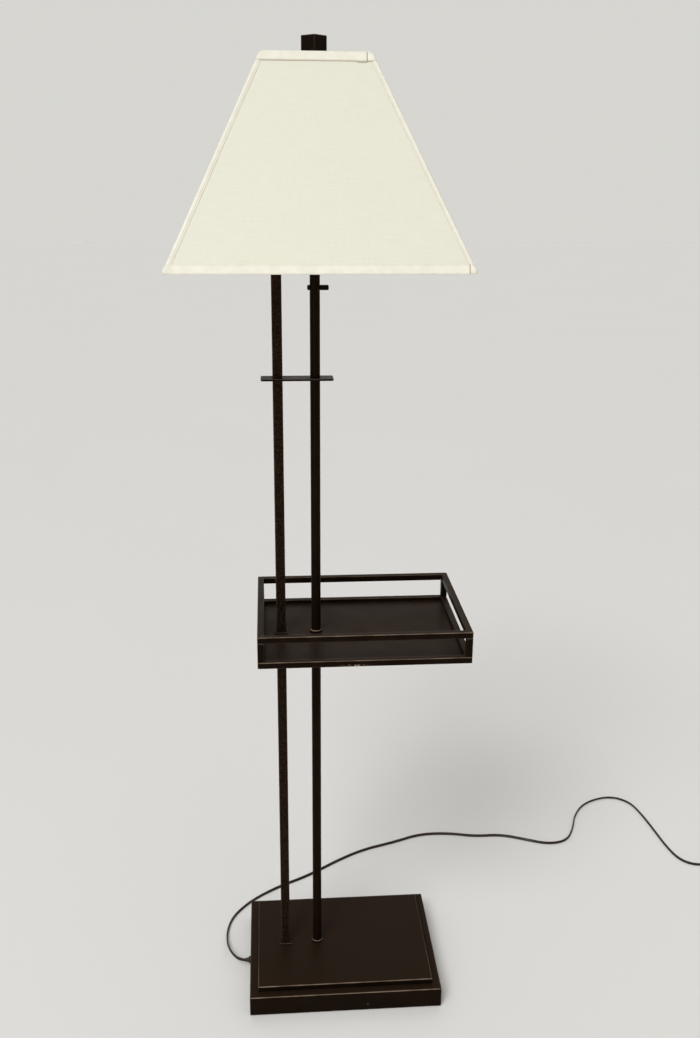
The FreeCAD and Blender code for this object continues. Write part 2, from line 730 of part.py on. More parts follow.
def make_tray():
    """Two mitred frames, four corner posts and the floor sheet."""
    left = "-Sizes.tray_left"
    right = "Levels.tray_right"
    front = "Levels.tray_front"
    back = "-Levels.tray_front"
    sides = [
        ("front", "Sizes.tray_length", left, front, 0),
        ("right", "Sizes.tray_depth", right, front, 90),
        ("back", "Sizes.tray_length", right, back, 180),
        ("left", "Sizes.tray_depth", left, back, 270),
    ]
    for frame, bottom in (("lower", "Sizes.tray_bottom"), ("upper", "Levels.rail_bottom")):
        for side, length, x, y, turn in sides:
            rail = mitred_rail("Rail_%s_%s" % (frame, side), length, [x, y, bottom], turn)
            publish("tray_%s_rail_%s" % (frame, side), rail)

    tube = "Sizes.tray_tube"
    wall = "Sizes.tray_tube_wall"
    height = "Levels.rail_bottom - Sizes.tray_bottom - Sizes.tray_tube"
    foot = "Sizes.tray_bottom + Sizes.tray_tube"
    posts = []
    for across, x in (("left", left), ("right", "%s - %s" % (right, tube))):
        for along, y in (("front", front), ("back", "%s - %s" % (back, tube))):
            tag = across + "_" + along
            outside = box("TrayPost_%s_outside" % tag, [tube, tube, height], [x, y, foot])
            bore = "%s - 2 * %s" % (tube, wall)
            inside = box("TrayPost_%s_inside" % tag, [bore, bore, "%s + 2" % height],
                         ["%s + %s" % (x, wall), "%s + %s" % (y, wall), "%s - 1" % foot])
            posts.append(cut("TrayPost_" + tag, outside, [inside]))
    publish("tray_corner_posts", group("TrayCornerPosts", posts))

    sheet = box("FloorSheet", ["Sizes.tray_length - 2 * %s" % tube, "Sizes.tray_depth - 2 * %s" % tube,
                               "Sizes.tray_floor_thickness"],
                ["%s + %s" % (left, tube), "%s + %s" % (front, tube), "Levels.floor_under"])
    holes = [
        cylinder("FloorHole_" + post, "Sizes.pipe_diameter + 2 * Sizes.fit_clearance",
                 "Sizes.tray_floor_thickness + 2", [x, "0", "Levels.floor_under - 1"])
        for post, x in POST_X.items()
    ]
    publish("tray_floor", cut("TrayFloor", sheet, holes))


# ---------------------------------------------------------------------------
# Push-through switch
# ---------------------------------------------------------------------------
def make_switch():
    """The switch body inside the round post and the rod that is pushed through it."""
    along_x = Rotation(Vector(0, 1, 0), 90)
    body = cylinder("SwitchBarrel", "Levels.round_bore - 2 * Sizes.trim_clearance", "Sizes.switch_body_length",
                    ["0", "0", "Levels.switch_height - Sizes.switch_body_length / 2"])
    bore = cylinder("SwitchBore", "Sizes.switch_rod_diameter + 2 * Sizes.running_clearance",
                    "Sizes.round_post_diameter + 2", ["-Sizes.round_post_diameter / 2 - 1", "0",
                                                      "Levels.switch_height"], along_x)
    publish("switch_body", cut("SwitchBody", body, [bore]))

    rod = DOC.addObject("PartDesign::Body", "SwitchRod")
    sketch = rod.newObject("Sketcher::SketchObject", "RodSection")
    sketch.AttachmentSupport = [(sketch_plane(rod, "YZ_Plane"), "")]
    sketch.MapMode = "FlatFace"
    sketch.setExpression("AttachmentOffset.Base.z", "-Sizes.round_post_diameter / 2 - Sizes.switch_rod_left")
    sketch.addGeometry(Part.Circle(Vector(0, place("switch_height"), 0), Vector(0, 0, 1), 4))
    diameter = sketch.addConstraint(Sketcher.Constraint("Diameter", 0, 8))
    sketch.setExpression("Constraints[%d]" % diameter, "Sizes.switch_rod_diameter")
    sketch.addConstraint(Sketcher.Constraint("PointOnObject", 0, 3, -2))
    height = sketch.addConstraint(Sketcher.Constraint("DistanceY", -1, 1, 0, 3, place("switch_height")))
    sketch.setExpression("Constraints[%d]" % height, "Levels.switch_height")
    bar = rod.newObject("PartDesign::Pad", "RodBar")
    bar.Profile = sketch
    bar.setExpression("Length", "Sizes.round_post_diameter + Sizes.switch_rod_left + Sizes.switch_rod_right")
    DOC.recompute()
    rims = [
        "Edge%d" % (number + 1)
        for number, edge in enumerate(bar.Shape.Edges)
        if isinstance(edge.Curve, Part.Circle)
    ]
    domes = rod.newObject("PartDesign::Fillet", "RodDomes")
    domes.Base = (bar, rims)
    domes.setExpression("Radius", "Sizes.switch_rod_dome")
    publish("switch_rod", rod)


# ---------------------------------------------------------------------------
# Harp
# ---------------------------------------------------------------------------
def make_saddle():
    """A steel strip under the lamp holder with an ear and a tang at each end."""
    thick = "Sizes.saddle_thickness"
    strip = centred_box("SaddleStrip", ["Sizes.harp_foot_span + %s" % thick, "Sizes.saddle_width", thick],
                        ["0", "0"], "Sizes.round_post_top")
    pieces = [strip]
    for side, sign in (("left", "-"), ("right", "")):
        x = sign + "Sizes.harp_foot_span / 2"
        pieces.append(centred_box("Ear_" + side, [thick, "Sizes.ear_width", "Sizes.ear_height + %s" % thick],
                                  [x, "0"], "Sizes.round_post_top"))
        pieces.append(centred_box("Tang_" + side, [thick, "Sizes.tang_width", "Sizes.tang_height + 1"],
                                  [x, "0"], "Levels.ear_top - 1"))
    hole = cylinder("SaddleHole", "Sizes.pipe_diameter + 2 * Sizes.fit_clearance", "%s + 2" % thick,
                    ["0", "0", "Sizes.round_post_top - 1"])
    publish("harp_saddle", cut("HarpSaddle", fuse("SaddleBlank", pieces), [hole]))

    # Each sleeve stands on its ear's shoulder and covers the joint of tang and wire
    bore = "Sizes.harp_wire + 2 * Sizes.running_clearance"
    for side, sign in (("left", "-"), ("right", "")):
        sleeve = ring("Sleeve_" + side, "%s + 2 * Sizes.sleeve_wall" % bore, bore, "Sizes.sleeve_length",
                      [sign + "Sizes.harp_foot_span / 2", "0", "Levels.ear_top"])
        publish("harp_sleeve_" + side, sleeve)


def make_harp():
    """The wire loop round the bulb, with the seat and the threaded stud on top."""
    foot = size("harp_foot_span") / 2
    wide = size("harp_width") / 2
    shoulder = size("harp_shoulder_width") / 2
    bottom = place("tang_top")
    seat_top = place("seat_top")
    crown = seat_top - size("harp_seat_height") / 2
    flare = bottom + size("harp_foot_height")
    right = [
        Vector(foot, 0, bottom),
        Vector(foot, 0, flare),
        Vector(wide, 0, flare + size("harp_flare_height")),
        Vector(wide, 0, crown - size("harp_shoulder_drop")),
        Vector(shoulder, 0, crown),
    ]
    left = [Vector(-point.x, 0, point.z) for point in reversed(right)]
    side_bend = size("harp_side_bend")
    bends = [0, size("harp_foot_bend"), side_bend, side_bend, size("harp_top_bend")]
    edges = tube_edges(right + left, bends + bends[::-1])
    wire = swept(edges, size("harp_wire"))
    seat = Part.makeCylinder(size("harp_seat_diameter") / 2, size("harp_seat_height"),
                             Vector(0, 0, seat_top - size("harp_seat_height")))
    stud = Part.makeCylinder(size("harp_stud_diameter") / 2, size("harp_stud_length") + 1,
                             Vector(0, 0, seat_top - 1))
    publish("harp", formed("Harp", wire.fuse([seat, stud]).removeSplitter()))


# ---------------------------------------------------------------------------
# Lamp holder and bulb
# ---------------------------------------------------------------------------
def make_holder():
    """Cap, shell, insulating core and screw shell of the lamp holder."""
    wall = "Sizes.holder_wall"
    wide = "Sizes.holder_diameter"
    neck = "Sizes.holder_neck_diameter"
    foot = "Levels.saddle_top"
    straight = "Sizes.holder_cap_height - Sizes.holder_cone_height"
    outside = fuse("CapOutside", [
        cone("CapCone", neck, wide, "Sizes.holder_cone_height", ["0", "0", foot]),
        cylinder("CapRim", wide, straight, ["0", "0", "%s + Sizes.holder_cone_height" % foot]),
    ])
    inside = fuse("CapInside", [
        cone("CapHollowCone", "%s - 2 * %s" % (neck, wall), "%s - 2 * %s" % (wide, wall),
             "Sizes.holder_cone_height", ["0", "0", "%s + %s" % (foot, wall)]),
        cylinder("CapHollowRim", "%s - 2 * %s" % (wide, wall), straight,
                 ["0", "0", "%s + %s + Sizes.holder_cone_height" % (foot, wall)]),
    ])
    hole = cylinder("CapHole", "Sizes.pipe_diameter + 2 * Sizes.fit_clearance", "%s + 2" % wall,
                    ["0", "0", "%s - 1" % foot])
    publish("socket_cap", cut("SocketCap", outside, [inside, hole]))
    publish("socket_shell", ring("SocketShell", wide, "%s - 2 * %s" % (wide, wall), "Sizes.holder_shell_height",
                                 ["0", "0", "Levels.holder_cap_top"]))
    publish("socket_core", cylinder("SocketCore", "%s - 2 * %s - 2 * Sizes.trim_clearance" % (wide, wall),
                                    "Sizes.holder_core_height", ["0", "0", "Levels.holder_core_bottom"]))
    bore = "Sizes.bulb_cap_diameter + 2 * Sizes.running_clearance"
    publish("screw_shell", ring("ScrewShell", "%s + 2 * Sizes.screw_shell_wall" % bore, bore,
                                "Sizes.screw_shell_height", ["0", "0", "Levels.holder_core_top"]))


def bulb_profile(radius, neck, bottom, height):
    """Half outline of a pear-shaped bulb: a neck line tangent to the round top."""
    centre = bottom + height - radius
    gap = centre - bottom
    reach = math.hypot(neck, gap)
    lean = math.atan2(neck, gap) + math.acos(radius / reach)
    touch = Vector(radius * math.sin(lean), 0, centre - radius * math.cos(lean))
    top = Vector(0, 0, centre + radius)
    swing = (math.pi - lean) / 2 + lean
    middle = Vector(radius * math.sin(swing), 0, centre - radius * math.cos(swing))
    start = Vector(neck, 0, bottom)
    axis = Vector(0, 0, bottom)
    edges = [
        Part.LineSegment(axis, start).toShape(),
        Part.LineSegment(start, touch).toShape(),
        Part.Arc(touch, middle, top).toShape(),
        Part.LineSegment(top, axis).toShape(),
    ]
    face = Part.Face(Part.Wire(edges))
    return face.revolve(Vector(), Vector(0, 0, 1), 360)


def make_bulb():
    """The bulb's screw cap with its centre contact, and the glass on it."""
    contact = cylinder("BulbContact", "Sizes.bulb_contact_diameter", "Sizes.bulb_contact_height + 1",
                       ["0", "0", "Levels.bulb_bottom"])
    barrel = cylinder("BulbBarrel", "Sizes.bulb_cap_diameter", "Sizes.bulb_cap_height",
                      ["0", "0", "Levels.bulb_bottom + Sizes.bulb_contact_height"])
    publish("bulb_cap", fuse("BulbCap", [contact, barrel]))

    wall = size("bulb_glass_wall")
    radius = size("bulb_glass_diameter") / 2
    neck = size("bulb_cap_diameter") / 2
    bottom = place("bulb_cap_top")
    height = size("bulb_glass_height")
    outside = bulb_profile(radius, neck, bottom, height)
    inside = bulb_profile(radius - wall, neck - wall, bottom, height - wall)
    publish("bulb_glass", formed("BulbGlass", outside.cut(inside)))


# ---------------------------------------------------------------------------
# Shade
# ---------------------------------------------------------------------------
def shade_half(height, offset="0"):
    """Half width of the shade's outer face at a height, moved outward by an offset."""
    return "Sizes.shade_bottom_width / 2 - (%s - Levels.shade_bottom) * Levels.shade_slope + %s" % (height, offset)


def shade_block(name, bottom, top, offset, cross=None):
    """A square tapered block that follows the shade's faces. A second offset may differ along Y."""
    block = DOC.addObject("Part::Wedge", name)
    other = offset if cross is None else cross
    bind(block, {"Ymin": bottom, "Ymax": top})
    for prefix, height in (("", bottom), ("2", top)):
        wide = shade_half(height, offset)
        deep = shade_half(height, other)
        bind(block, {"X%smin" % prefix: "-(%s)" % wide, "X%smax" % prefix: wide,
                     "Z%smin" % prefix: "-(%s)" % deep, "Z%smax" % prefix: deep})
    block.Placement = Placement(Vector(), Rotation(Vector(1, 0, 0), 90))
    return block


def make_panels():
    """Four stiffened fabric panels, mitred where they meet."""
    bottom = "Levels.shade_bottom"
    top = "Levels.shade_top"
    reach = "Sizes.shade_bottom_width"
    for side, turn in (("front", 0), ("right", 90), ("back", 180), ("left", 270)):
        outside = shade_block("Panel_%s_outside" % side, bottom, top, "0")
        inside = shade_block("Panel_%s_inside" % side, "%s - 1" % bottom, "%s + 1" % top, "-Levels.panel_across")
        shell = cut("Panel_%s_shell" % side, outside, [inside])
        quarter = DOC.addObject("Part::Wedge", "Panel_%s_quarter" % side)
        bind(quarter, {"Xmin": "-%s" % reach, "Xmax": reach, "Ymin": "-%s" % reach, "Ymax": "0",
                       "X2min": "0", "X2max": "0", "Zmin": "%s - 1" % bottom, "Zmax": "%s + 1" % top,
                       "Z2min": "%s - 1" % bottom, "Z2max": "%s + 1" % top})
        panel = DOC.addObject("Part::MultiCommon", "Panel_" + side)
        panel.Shapes = [shell, quarter]
        panel.Placement = Placement(Vector(), Rotation(Vector(0, 0, 1), turn))
        publish("shade_panel_" + side, panel)


def make_tapes():
    """Tapes round the top and bottom edges, and folded tapes down the four corners."""
    bottom = "Levels.shade_bottom"
    top = "Levels.shade_top"
    width = "Sizes.edge_tape_width / Levels.shade_stretch"
    skin = "Levels.tape_across"
    bands = []
    for name, low, high in (("Bottom", bottom, "%s + %s" % (bottom, width)), ("Top", "%s - %s" % (top, width), top)):
        outside = shade_block(name + "Tape_outside", low, high, skin)
        inside = shade_block(name + "Tape_inside", "%s - 1" % low, "%s + 1" % high, "0")
        bands.append(cut(name + "Tape", outside, [inside]))
    publish("shade_edge_tapes", group("ShadeEdgeTapes", bands))

    low = "%s + %s" % (bottom, width)
    high = "%s - %s" % (top, width)
    outside = shade_block("CornerTape_outside", low, high, skin)
    inside = shade_block("CornerTape_inside", "%s - 1" % low, "%s + 1" % high, "0")
    narrow = "-Sizes.corner_tape_width"
    wide = "2 * %s" % skin
    windows = [
        shade_block("CornerTape_front_window", "%s - 1" % low, "%s + 1" % high, narrow, wide),
        shade_block("CornerTape_side_window", "%s - 1" % low, "%s + 1" % high, wide, narrow),
    ]
    publish("shade_corner_tapes", cut("CornerTapes", outside, [inside] + windows))


def square_ring(half, height, bend, diameter):
    """A wire bent into a square with rounded corners."""
    points = [Vector(x * half, y * half, height) for x, y in ((1, -1), (1, 1), (-1, 1), (-1, -1))]
    edges = tube_edges(points, [bend] * 4, closed=True)
    return swept(edges, diameter)


def ring_half(height):
    """Half width of a wire ring's centre line that lies just inside the panels."""
    outer = size("shade_bottom_width") / 2 - (height - place("shade_bottom")) * place("shade_slope")
    return outer - place("panel_across") - (size("ring_wire") / 2 + size("ring_gap")) * place("shade_stretch")


def make_shade_wires():
    """The bottom ring, and the top ring with four arms to the washer on the harp."""
    wire = size("ring_wire")
    bend = size("ring_bend")
    low = place("shade_bottom") + wire / 2 + size("ring_gap")
    publish("shade_bottom_ring", formed("ShadeBottomRing", square_ring(ring_half(low), low, bend, wire)))

    high = place("shade_top") - wire / 2
    half = ring_half(high)
    top_ring = square_ring(half, high, bend, wire)
    arms = []
    for quarter in range(4):
        angle = quarter * math.pi / 2
        outward = Vector(math.cos(angle), math.sin(angle), 0)
        arms.append(Part.makeCylinder(size("spider_arm") / 2, half, Vector(0, 0, high), outward))
    washer = Part.makeCylinder(size("spider_washer_diameter") / 2, wire, Vector(0, 0, high - wire / 2))
    hole = Part.makeCylinder(place("running_bore") / 2, wire + 2, Vector(0, 0, high - wire / 2 - 1))
    spider = top_ring.fuse(arms + [washer]).cut(hole)
    publish("shade_spider", formed("ShadeSpider", spider.removeSplitter()))


def make_finial():
    """A square block turned corner-on, on a round neck with a threaded bore."""
    body = DOC.addObject("PartDesign::Body", "FinialBlock")
    reach = "Sizes.finial_side / sqrt(2)"
    outline = polygon_sketch(body, "FinialOutline", "XY_Plane",
                             [("0", "-" + reach), (reach, "0"), ("0", reach), ("-" + reach, "0")])
    outline.setExpression("AttachmentOffset.Base.z", "Levels.finial_block_bottom")
    block = body.newObject("PartDesign::Pad", "FinialPad")
    block.Profile = outline
    block.setExpression("Length", "Sizes.finial_height")
    neck = cylinder("FinialNeck", "Sizes.finial_neck_diameter", "Sizes.finial_neck_height + 1",
                    ["0", "0", "Levels.shade_top"])
    bore = cylinder("FinialBore", "Levels.running_bore", "Sizes.finial_bore_depth + 1",
                    ["0", "0", "Levels.shade_top - 1"])
    publish("finial", cut("Finial", fuse("FinialBlank", [body, neck]), [bore]))


# ---------------------------------------------------------------------------
# Lead
# ---------------------------------------------------------------------------
def corner_bend(points, index):
    """The largest radius that a corner's two runs allow."""
    before = points[index - 1] - points[index]
    after = points[index + 1] - points[index]
    turn = math.pi - before.getAngle(after)
    return 0.45 * min(before.Length, after.Length) / math.tan(turn / 2)


def make_inner_leads():
    """The lead inside the base and the round post, and the wires from the switch to the holder."""
    diameter = size("cord_diameter")
    start = Vector(-size("base_left") + size("relief_barrel_length"), size("cord_exit_back"),
                   size("cord_exit_height"))
    low = size("lead_sweep_height")
    switch_bottom = place("switch_height") - size("switch_body_length") / 2
    points = [
        start,
        start + Vector(18, 0, 0),
        Vector(start.x * 0.5, start.y * 0.7, low + 2),
        Vector(start.x * 0.22, start.y * 0.2, low),
        Vector(0, 0, low),
        Vector(0, 0, switch_bottom),
    ]
    bends = [0] + [corner_bend(points, index) for index in range(1, 4)] + [size("lead_foot_bend"), 0]
    edges = tube_edges(points, bends)
    lead = swept(edges, diameter)
    report_tube("supply_lead", edges, diameter, lead)
    publish("supply_lead", formed("SupplyLead", lead))

    switch_top = "Levels.switch_height + Sizes.switch_body_length / 2"
    publish("switch_leads", cylinder("SwitchLeads", "Sizes.switch_wire_diameter",
                                     "Levels.holder_core_bottom - (%s)" % switch_top, ["0", "0", switch_top]))


# The free cord's route after the strain relief, chosen by hand: out to the left, round the back corner
# of the base and away over the floor to the right. Heights are those of the cord's centre line.
CORD_FLOOR = 2.8
CORD_ROUTE = [
    (-144.0, -11.0, 18.0),
    (-161.0, 8.0, 9.0),
    (-164.0, 40.0, CORD_FLOOR),
    (-163.0, 72.0, CORD_FLOOR),
    (-161.0, 102.0, CORD_FLOOR),
    (-146.0, 132.0, CORD_FLOOR),
    (-113.0, 170.0, CORD_FLOOR),
    (-66.0, 210.0, CORD_FLOOR),
    (-6.0, 241.0, CORD_FLOOR),
    (56.0, 287.0, CORD_FLOOR),
    (112.0, 320.0, CORD_FLOOR),
    (178.0, 341.0, CORD_FLOOR),
    (236.0, 366.0, CORD_FLOOR),
    (300.0, 365.0, CORD_FLOOR),
    (352.0, 351.0, CORD_FLOOR),
    (410.0, 353.0, CORD_FLOOR),
    (462.0, 330.0, CORD_FLOOR),
    (502.0, 313.0, CORD_FLOOR),
    (544.0, 321.0, CORD_FLOOR),
    (568.0, 361.0, CORD_FLOOR),
    (586.0, 413.0, CORD_FLOOR),
    (622.0, 460.0, CORD_FLOOR),
    (684.0, 483.0, CORD_FLOOR),
    (724.0, 457.0, CORD_FLOOR),
    (735.0, 408.0, CORD_FLOOR),
    (742.0, 349.0, CORD_FLOOR),
    (747.0, 292.0, CORD_FLOOR),
    (758.0, 242.0, CORD_FLOOR),
    (785.0, 221.0, CORD_FLOOR),
    (822.0, 224.1, CORD_FLOOR),
]
COIL_CENTRE = (865.0, 261.0)


def biarc(start, heading, end, final):
    """Two tangent arcs between two points with given directions."""
    chord = end - start
    both = heading + final
    spread = 1 - heading.dot(final)
    along = chord.dot(both)
    if spread < 1e-9:
        reach = chord.Length / 4
    else:
        reach = (-along + math.sqrt(along ** 2 + 2 * spread * chord.dot(chord))) / (2 * spread)
    first = start + heading * reach
    second = end - final * reach
    joint = (first + second) * 0.5
    edges = []
    for one, corner, other in ((start, first, joint), (joint, second, end)):
        back = (one - corner).normalize()
        ahead = (other - corner).normalize()
        half = back.getAngle(ahead) / 2
        radius = reach * math.tan(half)
        nearest = corner + (back + ahead).normalize() * (reach / math.cos(half) - radius)
        edges.append(Part.Arc(one, nearest, other).toShape())
    return edges


def coil_point(angle):
    """A point on the two-layer coil: the lower layer winds in, the upper one winds out again."""
    pitch = size("coil_pitch")
    total = 2 * math.pi * size("coil_turns")
    inward = min(angle, total - angle) / (2 * math.pi)
    radius = size("coil_outer_radius") - pitch * inward
    climb_start = total / 2 - math.pi / 2
    share = min(max((angle - climb_start) / math.pi, 0.0), 1.0)
    height = CORD_FLOOR + pitch * share * share * (3 - 2 * share)
    turned = angle - math.pi / 2
    return Vector(COIL_CENTRE[0] + radius * math.cos(turned), COIL_CENTRE[1] + radius * math.sin(turned), height)


def coil_edges():
    """The coil's centre line as quarter-turn biarcs, with a straight end at the plug."""
    total = 2 * math.pi * size("coil_turns")
    steps = round(total / (math.pi / 2))
    step = 1e-4
    stations = []
    for index in range(steps + 1):
        angle = total * index / steps
        before = coil_point(max(angle - step, 0.0))
        after = coil_point(min(angle + step, total))
        stations.append((coil_point(angle), (after - before).normalize()))
    stations[0] = (stations[0][0], Vector(1, 0, 0))
    edges = []
    for (start, heading), (end, final) in zip(stations, stations[1:]):
        edges += biarc(start, heading, end, final)
    lead_in = size("cord_diameter")
    first, heading = stations[0]
    edges.insert(0, Part.LineSegment(first - heading * lead_in, first).toShape())
    last, final = stations[-1]
    edges.append(Part.LineSegment(last, last + final * lead_in).toShape())
    return edges


def least_self_gap(edges, diameter):
    """Smallest clear distance between stretches of a tube more than a quarter turn apart."""
    samples = []
    travelled = 0.0
    for edge in edges:
        count = max(2, int(edge.Length / 2.0))
        for index in range(count):
            parameter = edge.FirstParameter + (edge.LastParameter - edge.FirstParameter) * index / count
            samples.append((travelled + edge.Length * index / count, edge.valueAt(parameter)))
        travelled += edge.Length
    least = 1e9
    for index, (here, point) in enumerate(samples):
        for there, other in samples[index + 1:]:
            if there - here > 6 * diameter:
                least = min(least, point.distanceToPoint(other))
    return least - diameter


def make_cord():
    """The free cord on the floor, the coil of the length out of the picture, and the plug."""
    diameter = size("cord_diameter")
    exit_x = -size("base_left") - size("relief_flange_thickness") - size("relief_nose_length")
    start = Vector(exit_x, size("cord_exit_back"), size("cord_exit_height"))
    wound = coil_edges()
    coil_start = wound[0].valueAt(wound[0].FirstParameter)
    points = [start] + [Vector(*point) for point in CORD_ROUTE] + [coil_start]
    bends = [0] + [corner_bend(points, index) for index in range(1, len(points) - 1)] + [0]
    print("cord bend radii:", ", ".join("%.0f" % bend for bend in bends[1:-1]))
    edges = tube_edges(points, bends)
    tube = swept(edges, diameter)
    report_tube("cord", edges, diameter, tube)
    publish("cord", formed("Cord", tube))

    coil = swept(wound, diameter)
    report_tube("cord_coil", wound, diameter, coil)
    tightest = min(edge.Curve.Radius for edge in wound if isinstance(edge.Curve, Part.Circle))
    print("cord_coil: least gap to itself %.2f mm, tightest arc %.1f mm"
          % (least_self_gap(wound, diameter), tightest))
    publish("cord_coil", formed("CordCoil", coil))

    # The plug lies on the floor beside the coil, in line with the coil's last end
    last = wound[-1]
    mouth = last.valueAt(last.LastParameter)
    heading = last.tangentAt(last.LastParameter)
    level_heading = Vector(heading.x, heading.y, 0).normalize()
    turn = Placement(mouth, Rotation(Vector(0, 1, 0), level_heading))
    neck_length = size("plug_neck_length")
    length = size("plug_length")
    width = size("plug_width")
    thickness = size("plug_thickness")
    neck = Part.makeCone(diameter / 2 + 0.4, size("plug_neck_diameter") / 2, neck_length + 1, Vector(),
                         Vector(0, 1, 0))
    block = Part.makeBox(width, length, thickness, Vector(-width / 2, neck_length, -thickness / 2))
    upright = [edge for edge in block.Edges if abs(edge.tangentAt(edge.FirstParameter).y) > 0.9]
    block = block.makeFillet(thickness / 4, upright)
    plug = neck.fuse(block).removeSplitter()
    publish("plug_body", formed("PlugBody", plug)).Placement = turn

    blades = []
    for sign in (-1, 1):
        corner = Vector(sign * size("blade_spacing") / 2 - size("blade_thickness") / 2, neck_length + length,
                        -size("blade_width") / 2)
        blades.append(Part.makeBox(size("blade_thickness"), size("blade_length"), size("blade_width"), corner))
    publish("plug_blades", formed("PlugBlades", Part.makeCompound(blades))).Placement = turn


# ---------------------------------------------------------------------------
# Build, test and write
# ---------------------------------------------------------------------------
make_base()
make_cord_bushing()
make_posts()
make_tie_plate()
make_tray()
make_switch()
make_saddle()
make_harp()
make_holder()
make_bulb()
make_panels()
make_tapes()
make_shade_wires()
make_finial()
make_inner_leads()
make_cord()
DOC.recompute()

for item in DOC.Objects:
    if "Invalid" in item.State or "Error" in item.State:
        raise RuntimeError("%s failed: %s" % (item.Name, item.State))
for item in NODES:
    if item.Shape.isNull() or not item.Shape.isValid():
        raise RuntimeError("%s has no valid shape" % item.Label)
    if not item.Shape.Solids:
        raise RuntimeError("%s holds no solid" % item.Label)

os.makedirs("parts", exist_ok=True)
for item in NODES:
    item.Shape.exportStep("parts/%s.step" % item.Label)
print("%d pieces written" % len(NODES))
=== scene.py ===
"""Floor lamp with a gallery tray: bronze lacquered steel, a linen shade and a flat brown lead."""

import math

import bpy
from mathutils import Matrix, Vector, noise


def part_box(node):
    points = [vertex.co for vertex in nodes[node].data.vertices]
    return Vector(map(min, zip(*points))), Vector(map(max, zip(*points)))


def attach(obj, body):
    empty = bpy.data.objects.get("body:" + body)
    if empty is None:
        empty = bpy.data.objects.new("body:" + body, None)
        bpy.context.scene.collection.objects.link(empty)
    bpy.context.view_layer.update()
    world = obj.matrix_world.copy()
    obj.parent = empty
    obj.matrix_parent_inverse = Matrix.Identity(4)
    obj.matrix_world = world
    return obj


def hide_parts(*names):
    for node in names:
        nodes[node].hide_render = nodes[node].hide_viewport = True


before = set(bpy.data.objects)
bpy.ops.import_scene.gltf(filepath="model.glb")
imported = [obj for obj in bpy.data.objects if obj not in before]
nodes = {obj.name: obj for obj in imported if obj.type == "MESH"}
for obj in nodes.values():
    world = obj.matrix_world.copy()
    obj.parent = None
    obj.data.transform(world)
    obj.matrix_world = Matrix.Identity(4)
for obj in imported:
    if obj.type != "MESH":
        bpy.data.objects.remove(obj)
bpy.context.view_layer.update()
bpy.ops.object.select_all(action="DESELECT")

# ------------------------------------------
# Studio
# A pale painted floor and a plain pale surround, lit by a soft sky, a broad
# ceiling lamp and a tall window. The camera stands where the photograph's
# stood: eye height at the shade, looking down at the base.
# ------------------------------------------
PHOTO_HEIGHT_PX = 1038
FOCAL_PX = 1069.13
CAMERA_PLACE = Vector((-0.07039, -1.58009, 1.34995))
CAMERA_YAW = math.radians(4.486)
CAMERA_PITCH = math.radians(18.056)
CAMERA_ROLL = math.radians(-0.382)

ahead = Vector((math.sin(CAMERA_YAW), math.cos(CAMERA_YAW), 0))
forward = ahead * math.cos(CAMERA_PITCH) - Vector((0, 0, math.sin(CAMERA_PITCH)))
level_right = Vector((ahead.y, -ahead.x, 0))
level_down = forward.cross(level_right)
camera_right = level_right * math.cos(CAMERA_ROLL) + level_down * math.sin(CAMERA_ROLL)
camera_down = level_down * math.cos(CAMERA_ROLL) - level_right * math.sin(CAMERA_ROLL)

camera_data = bpy.data.cameras.new("studio_camera")
camera_data.sensor_width = 36
camera_data.lens = 36 * FOCAL_PX / PHOTO_HEIGHT_PX
camera_data.clip_end = 60
camera = bpy.data.objects.new("studio_camera", camera_data)
bpy.context.scene.collection.objects.link(camera)
camera.matrix_world = Matrix.Translation(CAMERA_PLACE) @ Matrix(
    (camera_right, -camera_down, -forward)).transposed().to_4x4()
bpy.context.scene.camera = camera
bpy.context.scene.view_settings.view_transform = "Standard"


def linear(code):
    """Turn an sRGB hex colour into linear values with full alpha."""
    channels = [int(code[start:start + 2], 16) / 255 for start in (1, 3, 5)]
    return [c / 12.92 if c <= 0.04045 else ((c + 0.055) / 1.055) ** 2.4 for c in channels] + [1.0]


def add_node(tree, kind, inputs=None, **settings):
    """Add a node with its settings; inputs are plain values, or sockets or nodes to link from.

    A node given as an input is linked by its first output.
    """
    node = tree.nodes.new(kind)
    for name, value in settings.items():
        setattr(node, name, value)
    for socket, value in (inputs or {}).items():
        if isinstance(value, bpy.types.Node):
            value = value.outputs[0]
        if isinstance(value, bpy.types.NodeSocket):
            tree.links.new(value, node.inputs[socket])
        else:
            node.inputs[socket].default_value = value
    return node


def start_material(name, **shader_values):
    """A new material with one principled shader; returns the material, its tree and the shader."""
    material = bpy.data.materials.new(name)
    material.use_nodes = True
    tree = material.node_tree
    tree.nodes.clear()
    shader = add_node(tree, "ShaderNodeBsdfPrincipled",
                      {socket.replace("_", " "): value for socket, value in shader_values.items()})
    add_node(tree, "ShaderNodeOutputMaterial", {"Surface": shader})
    return material, tree, shader


FLOOR_SIZE = 40.0
bpy.ops.mesh.primitive_plane_add(size=FLOOR_SIZE, location=(0, 0, 0))
floor = bpy.context.object
floor.name = "studio_floor"
# Matt floor paint: no gloss, only the lamp's own soft shadow shows on it
paint, tree, shader = start_material("matt_floor_paint", Roughness=0.95, Specular_IOR_Level=0.1)
place = add_node(tree, "ShaderNodeTexCoord").outputs["Object"]
cloud = add_node(tree, "ShaderNodeTexNoise", {"Scale": 1.5, "Detail": 1.0, "Vector": place})
cast = add_node(tree, "ShaderNodeMix", {0: cloud, 6: linear("#E7E6E3"), 7: linear("#E9E8E5")},
                data_type="RGBA")
tree.links.new(cast.outputs[2], shader.inputs["Base Color"])
floor.data.materials.append(paint)

world = bpy.data.worlds.new("studio_surround")
world.use_nodes = True
bpy.context.scene.world = world
tree = world.node_tree
tree.nodes.clear()
path = add_node(tree, "ShaderNodeLightPath")
